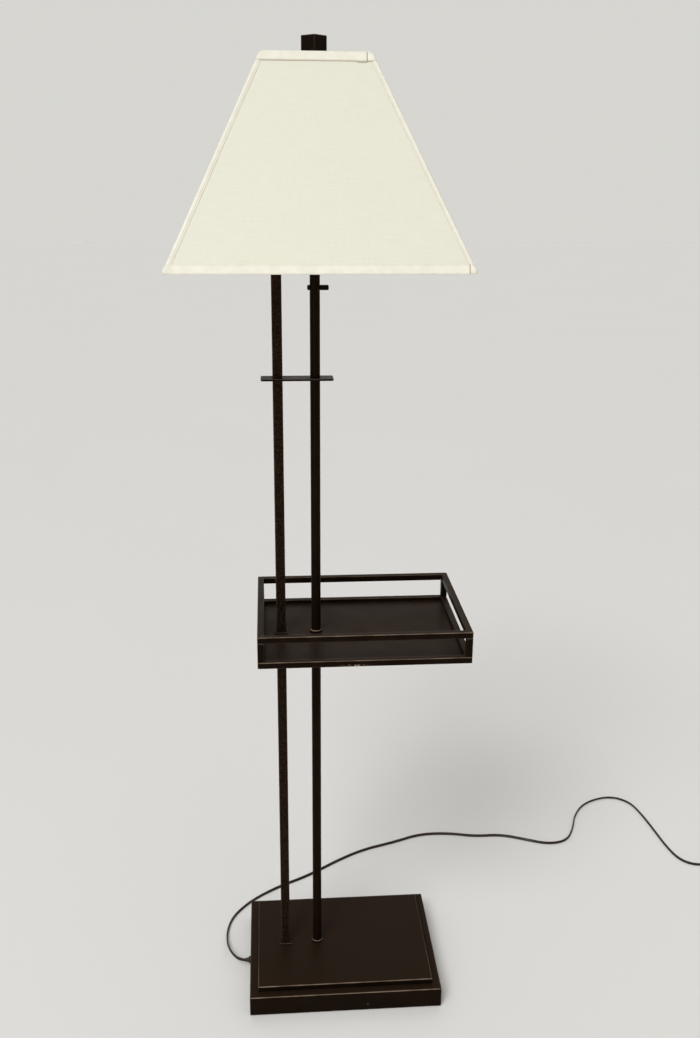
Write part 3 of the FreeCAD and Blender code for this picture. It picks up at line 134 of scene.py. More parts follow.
# The sky is brightest overhead and falls off towards both flanks, which gives the round posts their shape
place = add_node(tree, "ShaderNodeTexCoord").outputs["Generated"]
heading = add_node(tree, "ShaderNodeSeparateXYZ", {0: place}).outputs
overhead = add_node(tree, "ShaderNodeMapRange", {0: heading[2], 1: 0.0, 2: 0.9, 3: 0.22, 4: 0.74})
aside = add_node(tree, "ShaderNodeMath", {0: heading[0]}, operation="ABSOLUTE")
flank = add_node(tree, "ShaderNodeMapRange", {0: aside, 1: 0.3, 2: 1.0, 3: 1.0, 4: 0.5})
glow = add_node(tree, "ShaderNodeMath", {0: overhead, 1: flank}, operation="MULTIPLY")
sky = add_node(tree, "ShaderNodeBackground", {"Color": (1.0, 0.99, 0.975, 1.0), "Strength": glow})
# Seen by the camera, mirrored or through glass, the surround is one even pale tone
seen = add_node(tree, "ShaderNodeBackground", {"Color": linear("#EEEDE8"), "Strength": 0.793})
mirrored = add_node(tree, "ShaderNodeMath", {0: path.outputs["Is Glossy Ray"],
                                             1: path.outputs["Is Transmission Ray"]}, operation="MAXIMUM")
in_sight = add_node(tree, "ShaderNodeMath", {0: path.outputs["Is Camera Ray"], 1: mirrored},
                    operation="MAXIMUM")
either = add_node(tree, "ShaderNodeMixShader", {0: in_sight, 1: sky, 2: seen})
add_node(tree, "ShaderNodeOutputWorld", {"Surface": either})

LAMP_SIDE = Vector((-0.34, -0.55, 0.76))
lamp_data = bpy.data.lights.new("ceiling_lamp", "SUN")
lamp_data.energy = 1.28
lamp_data.angle = math.radians(26)
lamp = bpy.data.objects.new("ceiling_lamp", lamp_data)
lamp.rotation_euler = LAMP_SIDE.to_track_quat("Z", "Y").to_euler()
bpy.context.scene.collection.objects.link(lamp)

# A tall soft window beside the camera draws the long highlight down the round posts
WINDOW_PLACE = Vector((-1.3, -2.7, 1.5))
WINDOW_AIM = Vector((0, 0, 1))
window_data = bpy.data.lights.new("tall_window", "AREA")
window_data.shape = "RECTANGLE"
window_data.size = 0.5
window_data.size_y = 2.3
window_data.energy = 19.5
window = bpy.data.objects.new("tall_window", window_data)
window.location = WINDOW_PLACE
window.rotation_euler = (WINDOW_PLACE - WINDOW_AIM).to_track_quat("Z", "Y").to_euler()
bpy.context.scene.collection.objects.link(window)

# ------------------------------------------
# Lead
# A flat two-core lead in brown PVC, 5.5 mm wide. It leaves the base at the left
# through a strain relief, goes round behind it and away to the right. What the
# photograph does not show lies in a neat coil with the plug beside it.
# ------------------------------------------
LEAD_EXIT = (-0.128, -0.011, 0.018)
ON_FLOOR = 0.0028
LEAD_ROUTE = [
    LEAD_EXIT,
    (-0.1385, -0.0100, 0.0183),
    (-0.1510, 0.0070, 0.0165),
    (-0.1603, 0.036, 0.0098),
    (-0.1640, 0.069, 0.0038),
    (-0.161, 0.102, ON_FLOOR),
    (-0.149, 0.134, ON_FLOOR),
    (-0.117, 0.173, ON_FLOOR),
    (-0.066, 0.210, ON_FLOOR),
    (-0.006, 0.241, ON_FLOOR),
    (0.056, 0.287, ON_FLOOR),
    (0.112, 0.320, ON_FLOOR),
    (0.178, 0.341, ON_FLOOR),
    (0.236, 0.366, ON_FLOOR),
    (0.300, 0.365, ON_FLOOR),
    (0.352, 0.351, ON_FLOOR),
    (0.410, 0.353, ON_FLOOR),
    (0.462, 0.330, ON_FLOOR),
    (0.502, 0.313, ON_FLOOR),
    (0.544, 0.321, ON_FLOOR),
    (0.568, 0.361, ON_FLOOR),
    (0.586, 0.413, ON_FLOOR),
    (0.622, 0.460, ON_FLOOR),
    (0.684, 0.483, ON_FLOOR),
    (0.724, 0.457, ON_FLOOR),
    (0.735, 0.408, ON_FLOOR),
    (0.742, 0.349, ON_FLOOR),
    (0.747, 0.292, ON_FLOOR),
    (0.758, 0.242, ON_FLOOR),
    (0.785, 0.221, ON_FLOOR),
    (0.822, 0.2241, ON_FLOOR),
    (0.8595, 0.2241, ON_FLOOR),
]
COIL_CENTRE = (0.865, 0.261)
COIL_TURNS = 5.25
COIL_RADIUS = 0.0369
COIL_PITCH = 0.006
COIL_POINTS_PER_TURN = 16
PLUG_MOUTH = (0.90205, 0.2665, 0.0088)

route_points = list(LEAD_ROUTE)
coil_steps = int(COIL_TURNS * COIL_POINTS_PER_TURN)
# A spline runs inside the points that steer it, so these stand a little outside the turns
outside = 1 / math.cos(math.pi / COIL_POINTS_PER_TURN)
for index in range(coil_steps):
    wound = (index + 0.5) / COIL_POINTS_PER_TURN
    inward = min(wound, COIL_TURNS - wound)
    reach = (COIL_RADIUS - COIL_PITCH * inward) * outside
    climb = min(max((wound - COIL_TURNS / 2 + 0.25) * 2, 0.0), 1.0)
    angle = 2 * math.pi * wound - math.pi / 2
    route_points.append((COIL_CENTRE[0] + reach * math.cos(angle), COIL_CENTRE[1] + reach * math.sin(angle),
                         ON_FLOOR + COIL_PITCH * climb * climb * (3 - 2 * climb)))
route_points.append(PLUG_MOUTH)

route_data = bpy.data.curves.new("lead_route", "CURVE")
route_data.dimensions = "3D"
spline = route_data.splines.new("NURBS")
spline.points.add(len(route_points) - 1)
for point, place in zip(spline.points, route_points):
    point.co = (*place, 1.0)
spline.order_u = 3
spline.use_endpoint_u = True
spline.resolution_u = 8
route = bpy.data.objects.new("lead_route", route_data)
bpy.context.scene.collection.objects.link(route)
bpy.context.view_layer.update()
line_mesh = bpy.data.meshes.new_from_object(route.evaluated_get(bpy.context.evaluated_depsgraph_get()))
lead_line = [vertex.co.copy() for vertex in line_mesh.vertices]
bpy.data.objects.remove(route)


def loft(name, rows, loop=False, capped=False, ring=False):
    """A skin over rows of points, with a UV map in metres: u along the rows' order, v across them.

    loop closes each row on itself, ring joins the last row to the first, capped closes the two ends.
    """
    count = len(rows[0])
    vertices = [point for row in rows for point in row]
    faces = []
    for index in range(len(rows) if ring else len(rows) - 1):
        after = (index + 1) % len(rows)
        for place in range(count if loop else count - 1):
            beside = (place + 1) % count
            faces.append((index * count + place, index * count + beside, after * count + beside,
                          after * count + place))
    if capped:
        faces.append(tuple(reversed(range(count))))
        faces.append(tuple(range((len(rows) - 1) * count, len(rows) * count)))
    data = bpy.data.meshes.new(name)
    data.from_pydata(vertices, [], faces)
    along = [0.0]
    for before, row in zip(rows, rows[1:]):
        along.append(along[-1] + (row[0] - before[0]).length)
    across = [0.0]
    for before, point in zip(rows[0], rows[0][1:]):
        across.append(across[-1] + (point - before).length)
    layer = data.uv_layers.new(name="surface")
    for polygon in data.polygons:
        for corner, vertex in zip(polygon.loop_indices, polygon.vertices):
            layer.data[corner].uv = (along[vertex // count], across[vertex % count])
    piece = bpy.data.objects.new(name, data)
    bpy.context.scene.collection.objects.link(piece)
    return piece


# The lead stands on edge where it bends sideways and leans over between its bends:
# distance from the strain relief in metres, and the turn of its wide side in degrees
LEAD_TWIST = [(0.00, 90), (0.20, 92), (0.36, 118), (0.62, 120), (0.74, 142), (0.82, 138), (0.90, 95),
              (1.04, 90), (1.14, 62), (1.20, 72), (1.28, 90), (9.0, 90)]
CORE_RADIUS = 0.0014
CORE_OFFSET = 0.00135


def lead_twist(distance):
    """The turn of the lead's wide side at a distance along it."""
    for (start, low), (end, high) in zip(LEAD_TWIST, LEAD_TWIST[1:]):
        if distance <= end:
            share = (distance - start) / (end - start)
            return math.radians(low + (high - low) * share * share * (3 - 2 * share))
    return math.radians(90)


# Two round cores side by side, each drawn as an arc from the groove between them round to it again
CORE_STEPS = 8
CORE_ARC = 208
section = []
for side, middle in ((1, 0), (-1, 180)):
    for step in range(CORE_STEPS + 1):
        turn = math.radians(middle + CORE_ARC * (step / CORE_STEPS - 0.5))
        section.append((side * CORE_OFFSET + CORE_RADIUS * math.cos(turn), CORE_RADIUS * math.sin(turn)))
lead_rows = []
travelled = 0.0
for index, place in enumerate(lead_line):
    before = lead_line[max(index - 1, 0)]
    after = lead_line[min(index + 1, len(lead_line) - 1)]
    travelled += (place - before).length
    heading = (after - before).normalized()
    sideways = heading.cross(Vector((0, 0, 1))).normalized()
    upward = sideways.cross(heading)
    twist = lead_twist(travelled)
    wide = sideways * math.cos(twist) + upward * math.sin(twist)
    thin = upward * math.cos(twist) - sideways * math.sin(twist)
    sink = CORE_OFFSET * (1 - abs(math.sin(twist)))
    centre = place - Vector((0, 0, sink))
    lead_rows.append([centre + wide * x + thin * y for x, y in section])
lead = loft("flat_lead", lead_rows, loop=True, capped=True)
lead.data.polygons.foreach_set("use_smooth", [True] * len(lead.data.polygons))

# Extruded PVC: soft satin, with a fine pull along its length and dust in clouds along it
brown_pvc, tree, shader = start_material("extruded_brown_pvc", Roughness=0.42, Specular_IOR_Level=0.3)
place = add_node(tree, "ShaderNodeTexCoord")
pull = add_node(tree, "ShaderNodeTexNoise", {
    "Scale": 1 / 0.0006, "Detail": 2.0,
    "Vector": add_node(tree, "ShaderNodeMapping", {"Vector": place.outputs["UV"],
                                                   "Scale": (0.02, 1.0, 1.0)})})
dust = add_node(tree, "ShaderNodeTexNoise",
                {"Scale": 1 / 0.02, "Detail": 3.0, "Vector": place.outputs["Object"]})
dusty = add_node(tree, "ShaderNodeMapRange", {0: dust, 1: 0.35, 2: 0.7})
brown = add_node(tree, "ShaderNodeMix", {0: dusty, 6: linear("#20130E"), 7: linear("#2C1B15")},
                 data_type="RGBA")
dulled = add_node(tree, "ShaderNodeMapRange", {0: dust, 1: 0.3, 2: 0.7, 3: 0.36, 4: 0.5})
tree.links.new(brown.outputs[2], shader.inputs["Base Color"])
tree.links.new(dulled.outputs[0], shader.inputs["Roughness"])
tree.links.new(add_node(tree, "ShaderNodeBump", {"Height": pull, "Strength": 0.15,
                                                 "Distance": 0.0001}).outputs[0], shader.inputs["Normal"])
lead.data.materials.append(brown_pvc)
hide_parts("cord", "cord_coil")
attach(lead, "stand")


def finish_nodes(material, *names):
    """Give CAD nodes that stay in sight their material."""
    for name in names:
        data = nodes[name].data
        data.materials.clear()
        data.materials.append(material)


# Moulded PVC of the strain relief, the plug and the leads inside: a grained, duller skin
moulded_pvc, tree, shader = start_material("moulded_brown_pvc", Roughness=0.5, Specular_IOR_Level=0.3)
place = add_node(tree, "ShaderNodeTexCoord").outputs["Object"]
grain = add_node(tree, "ShaderNodeTexNoise", {"Scale": 1 / 0.0008, "Detail": 2.0, "Vector": place})
tone = add_node(tree, "ShaderNodeTexNoise", {"Scale": 1 / 0.01, "Detail": 2.0, "Vector": place})
brown = add_node(tree, "ShaderNodeMix", {0: tone, 6: linear("#1C120E"), 7: linear("#281913")},
                 data_type="RGBA")
tree.links.new(brown.outputs[2], shader.inputs["Base Color"])
tree.links.new(add_node(tree, "ShaderNodeBump", {"Height": grain, "Strength": 0.3,
                                                 "Distance": 0.0001}).outputs[0], shader.inputs["Normal"])
finish_nodes(moulded_pvc, "cord_bushing", "plug_body", "supply_lead", "switch_leads")

# Nickel plate on brass: a clear cool shine with faint handling marks
nickel, tree, shader = start_material("nickel_plate", Metallic=1.0, Roughness=0.2)
place = add_node(tree, "ShaderNodeTexCoord").outputs["Object"]
marks = add_node(tree, "ShaderNodeTexNoise", {"Scale": 1 / 0.003, "Detail": 4.0, "Vector": place})
silvery = add_node(tree, "ShaderNodeMix", {0: marks, 6: linear("#B9B4A8"), 7: linear("#CFCBC0")},
                   data_type="RGBA")
handled = add_node(tree, "ShaderNodeMapRange", {0: marks, 1: 0.3, 2: 0.7, 3: 0.15, 4: 0.32})
tree.links.new(silvery.outputs[2], shader.inputs["Base Color"])
tree.links.new(handled.outputs[0], shader.inputs["Roughness"])
finish_nodes(nickel, "plug_blades", "bulb_cap")

# ------------------------------------------
# Base
# Two folded steel boxes, the smaller one on the larger, over an iron weight.
# Both are sprayed dark bronze and rubbed back a little along their folds, where a
# highlight is painted too. A board closes the base from below, with felt glued under it.
# ------------------------------------------
def bronze_lacquer(name, hammered):
    """Oil-rubbed bronze lacquer on steel: nearly black brown, satin, with a warm shine.

    Dust and painted light from above lighten what faces up. Folds that face up and forward are rubbed
    lighter, part wear and part painted highlight, where the edge attribute marks them.
    Hammered lacquer stands up in grains 2.4 mm apart, their tops lighter: partly rubbed tone, partly painted
    glint.
    """
    material, tree, shader = start_material(name, Metallic=0.05, Roughness=0.38, Specular_IOR_Level=0.055,
                                            Specular_Tint=linear("#E3B98F"))
    place = add_node(tree, "ShaderNodeTexCoord").outputs["Object"]
    cloud = add_node(tree, "ShaderNodeTexNoise", {"Scale": 1 / 0.03, "Detail": 4.0, "Vector": place})
    facing = add_node(tree, "ShaderNodeSeparateXYZ",
                      {0: add_node(tree, "ShaderNodeNewGeometry").outputs["Normal"]}).outputs
    cloudy = add_node(tree, "ShaderNodeMapRange", {0: cloud, 1: 0.3, 2: 0.7})
    body = add_node(tree, "ShaderNodeMix", {0: cloudy, 6: linear("#110A06"), 7: linear("#170F09")},
                    data_type="RGBA").outputs[2]
    # Up-facing faces go lighter brown: partly dust, partly painted light from above
    upward = add_node(tree, "ShaderNodeMapRange", {0: facing["Z"], 1: 0.7, 2: 0.98, 3: 0.0, 4: 0.68})
    body = add_node(tree, "ShaderNodeMix", {0: upward, 6: body, 7: linear("#2A1F16")},
                    data_type="RGBA").outputs[2]
    if hammered:
        grains = add_node(tree, "ShaderNodeTexVoronoi", {"Scale": 1 / 0.0024, "Vector": place})
        relief = add_node(tree, "ShaderNodeMapRange", {0: grains, 1: 0.1, 2: 0.6, 3: 1.0, 4: 0.0})
        # Grain tops go lighter: partly rubbed tone, partly painted glint
        body = add_node(tree, "ShaderNodeMix", {0: relief, 6: body, 7: linear("#34271C")},
                        data_type="RGBA").outputs[2]
        depth = 0.0006
    else:
        # Spray texture, drawn at 1.6 mm because the real 0.5 mm peel is too fine to show
        relief = add_node(tree, "ShaderNodeTexNoise", {"Scale": 1 / 0.0016, "Detail": 2.0, "Vector": place})
        depth = 0.00006
    worn_and_highlit = add_node(tree, "ShaderNodeAttribute", attribute_name="wear_and_highlight").outputs["Fac"]
    patchy = add_node(tree, "ShaderNodeTexNoise", {"Scale": 1 / 0.03, "Detail": 5.0, "Vector": place})
    # Rubbed folds, weighted to those facing up and forward, go lighter: part wear, part painted highlight
    rubbed_and_highlit = add_node(tree, "ShaderNodeMapRange", {0: worn_and_highlit, 1: 0.55, 2: 1.0})
    for limits in ({0: facing["Z"], 1: 0.1, 2: 0.6, 3: 0.1, 4: 1.0},
                   {0: facing["Y"], 1: -0.5, 2: 0.0, 3: 1.0, 4: 0.2},
                   {0: patchy, 1: 0.35, 2: 0.6, 3: 0.4, 4: 0.9}):
        share = add_node(tree, "ShaderNodeMapRange", limits)
        rubbed_and_highlit = add_node(tree, "ShaderNodeMath", {0: rubbed_and_highlit, 1: share}, operation="MULTIPLY")
    if not hammered:
        # Two scuffs: one on the base's front, one along the tray's lower front rail
        flakes = add_node(tree, "ShaderNodeTexNoise", {"Scale": 1 / 0.0035, "Detail": 3.0, "Vector": place})
        chipped = add_node(tree, "ShaderNodeMapRange", {0: flakes, 1: 0.5, 2: 0.6})
        for centre, reach in (((0.080, -0.1255, 0.013), (0.004, 0.002, 0.0015)),
                              ((0.052, -0.1265, 0.6428), (0.030, 0.003, 0.0022))):
            spot = add_node(tree, "ShaderNodeMapping", {
                "Vector": place, "Location": [-at / size for at, size in zip(centre, reach)],
                "Scale": [1 / size for size in reach]})
            near = add_node(tree, "ShaderNodeTexGradient", {0: spot}, gradient_type="SPHERICAL").outputs[1]
            inside = add_node(tree, "ShaderNodeMapRange", {0: near, 1: 0.05, 2: 0.4})
            scuff = add_node(tree, "ShaderNodeMath", {0: inside, 1: chipped}, operation="MULTIPLY")
            rubbed_and_highlit = add_node(tree, "ShaderNodeMath", {0: rubbed_and_highlit, 1: scuff}, operation="MAXIMUM")
    shown = add_node(tree, "ShaderNodeMix", {0: rubbed_and_highlit, 6: body, 7: linear("#8F7D6B")}, data_type="RGBA")
    satin = add_node(tree, "ShaderNodeMapRange", {0: cloud, 1: 0.3, 2: 0.7, 3: 0.33, 4: 0.45})
    skin = add_node(tree, "ShaderNodeBump", {"Height": relief, "Strength": 0.6, "Distance": depth})
    tree.links.new(shown.outputs[2], shader.inputs["Base Color"])
    tree.links.new(satin.outputs[0], shader.inputs["Roughness"])
    tree.links.new(skin.outputs[0], shader.inputs["Normal"])
    return material


smooth_bronze = bronze_lacquer("oil_rubbed_bronze_lacquer", False)
hammered_bronze = bronze_lacquer("hammered_bronze_lacquer", True)


def add_block(name, low, high):
    """A block between two corners, left active and selected."""
    bpy.ops.object.select_all(action="DESELECT")
    centre = [(start + end) / 2 for start, end in zip(low, high)]
    sides = [end - start for start, end in zip(low, high)]
    bpy.ops.mesh.primitive_cube_add(size=1, location=centre, scale=sides)
    block = bpy.context.object
    block.name = name
    bpy.ops.object.transform_apply()
    return block


def pick(piece, kind, chosen):
    """Select the active piece's faces or edges that a test picks, ready for an edit."""
    bpy.ops.object.mode_set(mode="EDIT")
    bpy.ops.mesh.select_mode(type=kind)
    bpy.ops.mesh.select_all(action="DESELECT")
    bpy.ops.object.mode_set(mode="OBJECT")
    for part in piece.data.polygons if kind == "FACE" else piece.data.edges:
        part.select = bool(chosen(part))
    bpy.ops.object.mode_set(mode="EDIT")


SMOOTH_BELOW = math.radians(32)


def soften_edges(piece, radius, band, worn_and_highlit=1.0):
    """Round the sharp edges, inset the flats beside them and mark the rounded part as worn and painted with a
    highlight.
    """
    flat = [polygon.normal.copy() for polygon in piece.data.polygons]
    bpy.ops.object.mode_set(mode="EDIT")
    bpy.ops.mesh.select_mode(type="EDGE")
    bpy.ops.mesh.select_all(action="DESELECT")
    bpy.ops.mesh.edges_select_sharp(sharpness=math.radians(40))
    bpy.ops.mesh.bevel(offset=radius, segments=3, profile=0.5, affect="EDGES")
    bpy.ops.object.mode_set(mode="OBJECT")
    # Only the old flats, where they are wide enough for the inset
    pick(piece, "FACE", lambda face: face.area > (2.2 * band) ** 2
         and any(face.normal.dot(normal) > 0.9995 for normal in flat))
    bpy.ops.mesh.inset(thickness=band, use_individual=True)
    bpy.ops.object.mode_set(mode="OBJECT")
    plain = {vertex for polygon in piece.data.polygons if polygon.select for vertex in polygon.vertices}
    wear_and_highlight = piece.data.attributes.new("wear_and_highlight", "FLOAT", "POINT")
    wear_and_highlight.data.foreach_set("value", [0.0 if vertex.index in plain else worn_and_highlit for vertex in piece.data.vertices])
    bpy.ops.object.shade_smooth_by_angle(angle=SMOOTH_BELOW)


def give_wall(piece, thickness):
    """Thicken the active piece's skin inwards."""
    wall = piece.modifiers.new("wall", "SOLIDIFY")
    wall.thickness = thickness
    wall.offset = -1
    bpy.ops.object.modifier_apply(modifier="wall")


def settle(piece, material, body, slot, *replaced):
    """Finish a piece: its material, the body it rides on and the CAD nodes it stands for. The slot is not
    used.
    """
    piece.data.materials.clear()
    piece.data.materials.append(material)
    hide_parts(*replaced)
    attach(piece, body)


FOLD_RADIUS = 0.0011
SHEET_WALL = 0.0015
for name, node in (("lower_cover", "base_cover"), ("upper_step", "base_step_plate")):
    low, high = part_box(node)
    shell = add_block(name, low, high)
    pick(shell, "FACE", lambda face: face.normal.z < -0.9)
    bpy.ops.mesh.delete(type="FACE")
    bpy.ops.object.mode_set(mode="OBJECT")
    soften_edges(shell, FOLD_RADIUS, band=0.0012)
    give_wall(shell, SHEET_WALL)
    settle(shell, smooth_bronze, "stand", "bronze", node)

# Needle felt: black, hairy, no shine. Its cut edge wavers by about half a millimetre.
felt_low, felt_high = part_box("felt_pad")
FELT_STEP = 0.012
FELT_WAVER = 0.0006
columns = round((felt_high.x - felt_low.x) / FELT_STEP)
depths = round((felt_high.y - felt_low.y) / FELT_STEP)
felt_rows = []
for row in range(depths + 1):
    felt_rows.append([])
    for column in range(columns + 1):
        spot = Vector((felt_low.x + (felt_high.x - felt_low.x) * column / columns,
                       felt_low.y + (felt_high.y - felt_low.y) * row / depths, felt_high.z))
        if row in (0, depths) or column in (0, columns):
            stray = Vector((noise.noise(spot * 90), noise.noise(spot * 90 + Vector((7, 3, 1))), 0))
            spot += stray * FELT_WAVER
        felt_rows[-1].append(spot)
felt = loft("felt_sheet", felt_rows)


def take_up(*pieces):
    """Select these pieces only, the first of them active."""
    bpy.ops.object.select_all(action="DESELECT")
    for piece in pieces:
        piece.select_set(True)
    bpy.context.view_layer.objects.active = pieces[0]


take_up(felt)
bpy.ops.object.mode_set(mode="EDIT")
bpy.ops.mesh.select_all(action="SELECT")
bpy.ops.mesh.normals_make_consistent(inside=False)
bpy.ops.object.mode_set(mode="OBJECT")
if felt.data.polygons[0].normal.z < 0:
    felt.data.flip_normals()
give_wall(felt, felt_high.z - felt_low.z)
needle_felt, tree, shader = start_material("needle_felt", Roughness=0.95, Sheen_Weight=0.4,
                                           Sheen_Roughness=0.6)
place = add_node(tree, "ShaderNodeTexCoord").outputs["Object"]
hairs = add_node(tree, "ShaderNodeTexNoise", {"Scale": 1 / 0.0015, "Detail": 5.0, "Vector": place})
black = add_node(tree, "ShaderNodeMix", {0: hairs, 6: linear("#141312"), 7: linear("#2A2826")},
                 data_type="RGBA")
tree.links.new(black.outputs[2], shader.inputs["Base Color"])
tree.links.new(add_node(tree, "ShaderNodeBump", {"Height": hairs, "Strength": 0.8,
                                                 "Distance": 0.0005}).outputs[0], shader.inputs["Normal"])
settle(felt, needle_felt, "stand", "felt", "felt_pad")

# Pressed hardboard: brown, hard, with short fibres
hardboard, tree, shader = start_material("pressed_hardboard", Roughness=0.7)
place = add_node(tree, "ShaderNodeTexCoord").outputs["Object"]
fibres = add_node(tree, "ShaderNodeTexNoise",
                  {"Scale": 1 / 0.002, "Detail": 6.0, "Distortion": 1.5, "Vector": place})
brown = add_node(tree, "ShaderNodeMix", {0: fibres, 6: linear("#5B3F28"), 7: linear("#7A583B")},
                 data_type="RGBA")
tree.links.new(brown.outputs[2], shader.inputs["Base Color"])
finish_nodes(hardboard, "bottom_board")

# Cast iron as it leaves the sand: dark grey and rough
grey_iron, tree, shader = start_material("sand_cast_iron", Metallic=0.6, Roughness=0.75)
place = add_node(tree, "ShaderNodeTexCoord").outputs["Object"]
sand = add_node(tree, "ShaderNodeTexNoise", {"Scale": 1 / 0.0025, "Detail": 4.0, "Vector": place})
grey = add_node(tree, "ShaderNodeMix", {0: sand, 6: linear("#2C2B2A"), 7: linear("#454341")},
                data_type="RGBA")
tree.links.new(grey.outputs[2], shader.inputs["Base Color"])
tree.links.new(add_node(tree, "ShaderNodeBump", {"Height": sand, "Strength": 0.7,
                                                 "Distance": 0.0005}).outputs[0], shader.inputs["Normal"])
finish_nodes(grey_iron, "base_weight")

# Zinc plate on turned steel: pale grey with a spangle
zinc, tree, shader = start_material("zinc_plated_steel", Metallic=1.0, Roughness=0.38)
place = add_node(tree, "ShaderNodeTexCoord").outputs["Object"]
spangle = add_node(tree, "ShaderNodeTexVoronoi", {"Scale": 1 / 0.002, "Vector": place})
pale = add_node(tree, "ShaderNodeMix", {0: spangle, 6: linear("#A8A9A6"), 7: linear("#C2C2BE")},
                data_type="RGBA")
uneven = add_node(tree, "ShaderNodeMapRange", {0: spangle, 1: 0.0, 2: 0.8, 3: 0.3, 4: 0.48})
tree.links.new(pale.outputs[2], shader.inputs["Base Color"])
tree.links.new(uneven.outputs[0], shader.inputs["Roughness"])
finish_nodes(zinc, "board_screws", "base_washers", "base_nuts", "base_pipes", "tray_pipes", "top_pipe",
             "round_post_bushings", "square_post_bushings")

# ------------------------------------------
# Posts
# Four lengths of thin steel tube: the square one in hammered lacquer, the round
# one smooth. Square plates and low domed rings cover the joints at the base
# and on the tray.
# ------------------------------------------
TUBE_CORNER = 0.0012
for name, node in (("square_tube_lower", "lower_square_post"), ("square_tube_upper", "upper_square_post")):
    low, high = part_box(node)
    tube = add_block(name, low, high)
    soften_edges(tube, TUBE_CORNER, band=0.0015)
    settle(tube, hammered_bronze, "stand", "hammered_bronze", node)


def join_pieces(name, pieces):
    """Join pieces into the first of them, under one name."""
    take_up(*pieces)
    bpy.ops.object.join()
    pieces[0].name = name
    return pieces[0]


flange_low, flange_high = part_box("square_flanges")
FLANGE_HEIGHT = 0.0025
FLANGE_HOLE = 0.0152
flanges = []
for bottom in (flange_low.z, flange_high.z - FLANGE_HEIGHT):
    plate = add_block("square_flange", (flange_low.x, flange_low.y, bottom),
                      (flange_high.x, flange_high.y, bottom + FLANGE_HEIGHT))
    pick(plate, "FACE", lambda face: abs(face.normal.z) > 0.9)
    bpy.ops.mesh.inset(thickness=(flange_high.x - flange_low.x - FLANGE_HOLE) / 2, use_individual=True)
    bpy.ops.mesh.bridge_edge_loops()
    bpy.ops.object.mode_set(mode="OBJECT")
    soften_edges(plate, radius=0.0006, band=0.0005, worn_and_highlit=0.75)
    flanges.append(plate)
settle(join_pieces("flange_plates", flanges), smooth_bronze, "stand", "bronze", "square_flanges")

ferrule_low, ferrule_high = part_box("round_ferrules")
FERRULE_HEIGHT = 0.0045
FERRULE_ROUNDING = 0.0018
FERRULE_HOLE_RADIUS = 0.0076
TINY = 0.0001
ferrule_radius = (ferrule_high.x - ferrule_low.x) / 2
ferrules = []
for bottom in (ferrule_low.z, ferrule_high.z - FERRULE_HEIGHT):
    bpy.ops.object.select_all(action="DESELECT")
    bpy.ops.mesh.primitive_cylinder_add(vertices=64, radius=ferrule_radius, depth=FERRULE_HEIGHT,
                                        location=(0, 0, bottom + FERRULE_HEIGHT / 2))
    ring = bpy.context.object
    bpy.ops.object.transform_apply()
    pick(ring, "FACE", lambda face: abs(face.normal.z) > 0.9)
    bpy.ops.mesh.inset(thickness=ferrule_radius - FERRULE_HOLE_RADIUS, use_individual=True)
    bpy.ops.mesh.bridge_edge_loops()
    top = bottom + FERRULE_HEIGHT
    pick(ring, "EDGE", lambda edge: all(ring.data.vertices[index].co.z > top - TINY
                                        and ring.data.vertices[index].co.xy.length > ferrule_radius - TINY
                                        for index in edge.vertices))
    bpy.ops.mesh.bevel(offset=FERRULE_ROUNDING, segments=6, profile=0.5, affect="EDGES")
    bpy.ops.object.mode_set(mode="OBJECT")
    # The shoulder is marked for the bronze's lighter rubbed edge: wear, and a painted highlight round its
    # front
    ring.data.attributes.new("wear_and_highlight", "FLOAT", "POINT").data.foreach_set(
        "value", [1.0 if top - FERRULE_ROUNDING * 0.9 < vertex.co.z < top - TINY else 0.0
                  for vertex in ring.data.vertices])
    bpy.ops.object.shade_smooth_by_angle(angle=SMOOTH_BELOW)
    ferrules.append(ring)
settle(join_pieces("domed_rings", ferrules), smooth_bronze, "stand", "bronze", "round_ferrules")
finish_nodes(smooth_bronze, "lower_round_post", "upper_round_post", "square_post_cap", "switch_rod")

# ------------------------------------------
# Tie plate
# A flat bar with rounded corners that both upper posts pass through. It is
# sprayed with the posts, and its front edge is rubbed lighter and painted with a highlight.
# ------------------------------------------
TIE_CORNER = 0.004
low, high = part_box("tie_plate")
tie = add_block("tie_bar", low, high)
# Its four upright edges are the corners
pick(tie, "EDGE", lambda edge: tie.data.vertices[edge.vertices[0]].co.xy
     == tie.data.vertices[edge.vertices[1]].co.xy)
bpy.ops.mesh.bevel(offset=TIE_CORNER, segments=6, profile=0.5, affect="EDGES")
bpy.ops.object.mode_set(mode="OBJECT")
soften_edges(tie, radius=0.0004, band=0.0012)
settle(tie, smooth_bronze, "stand", "bronze", "tie_plate")

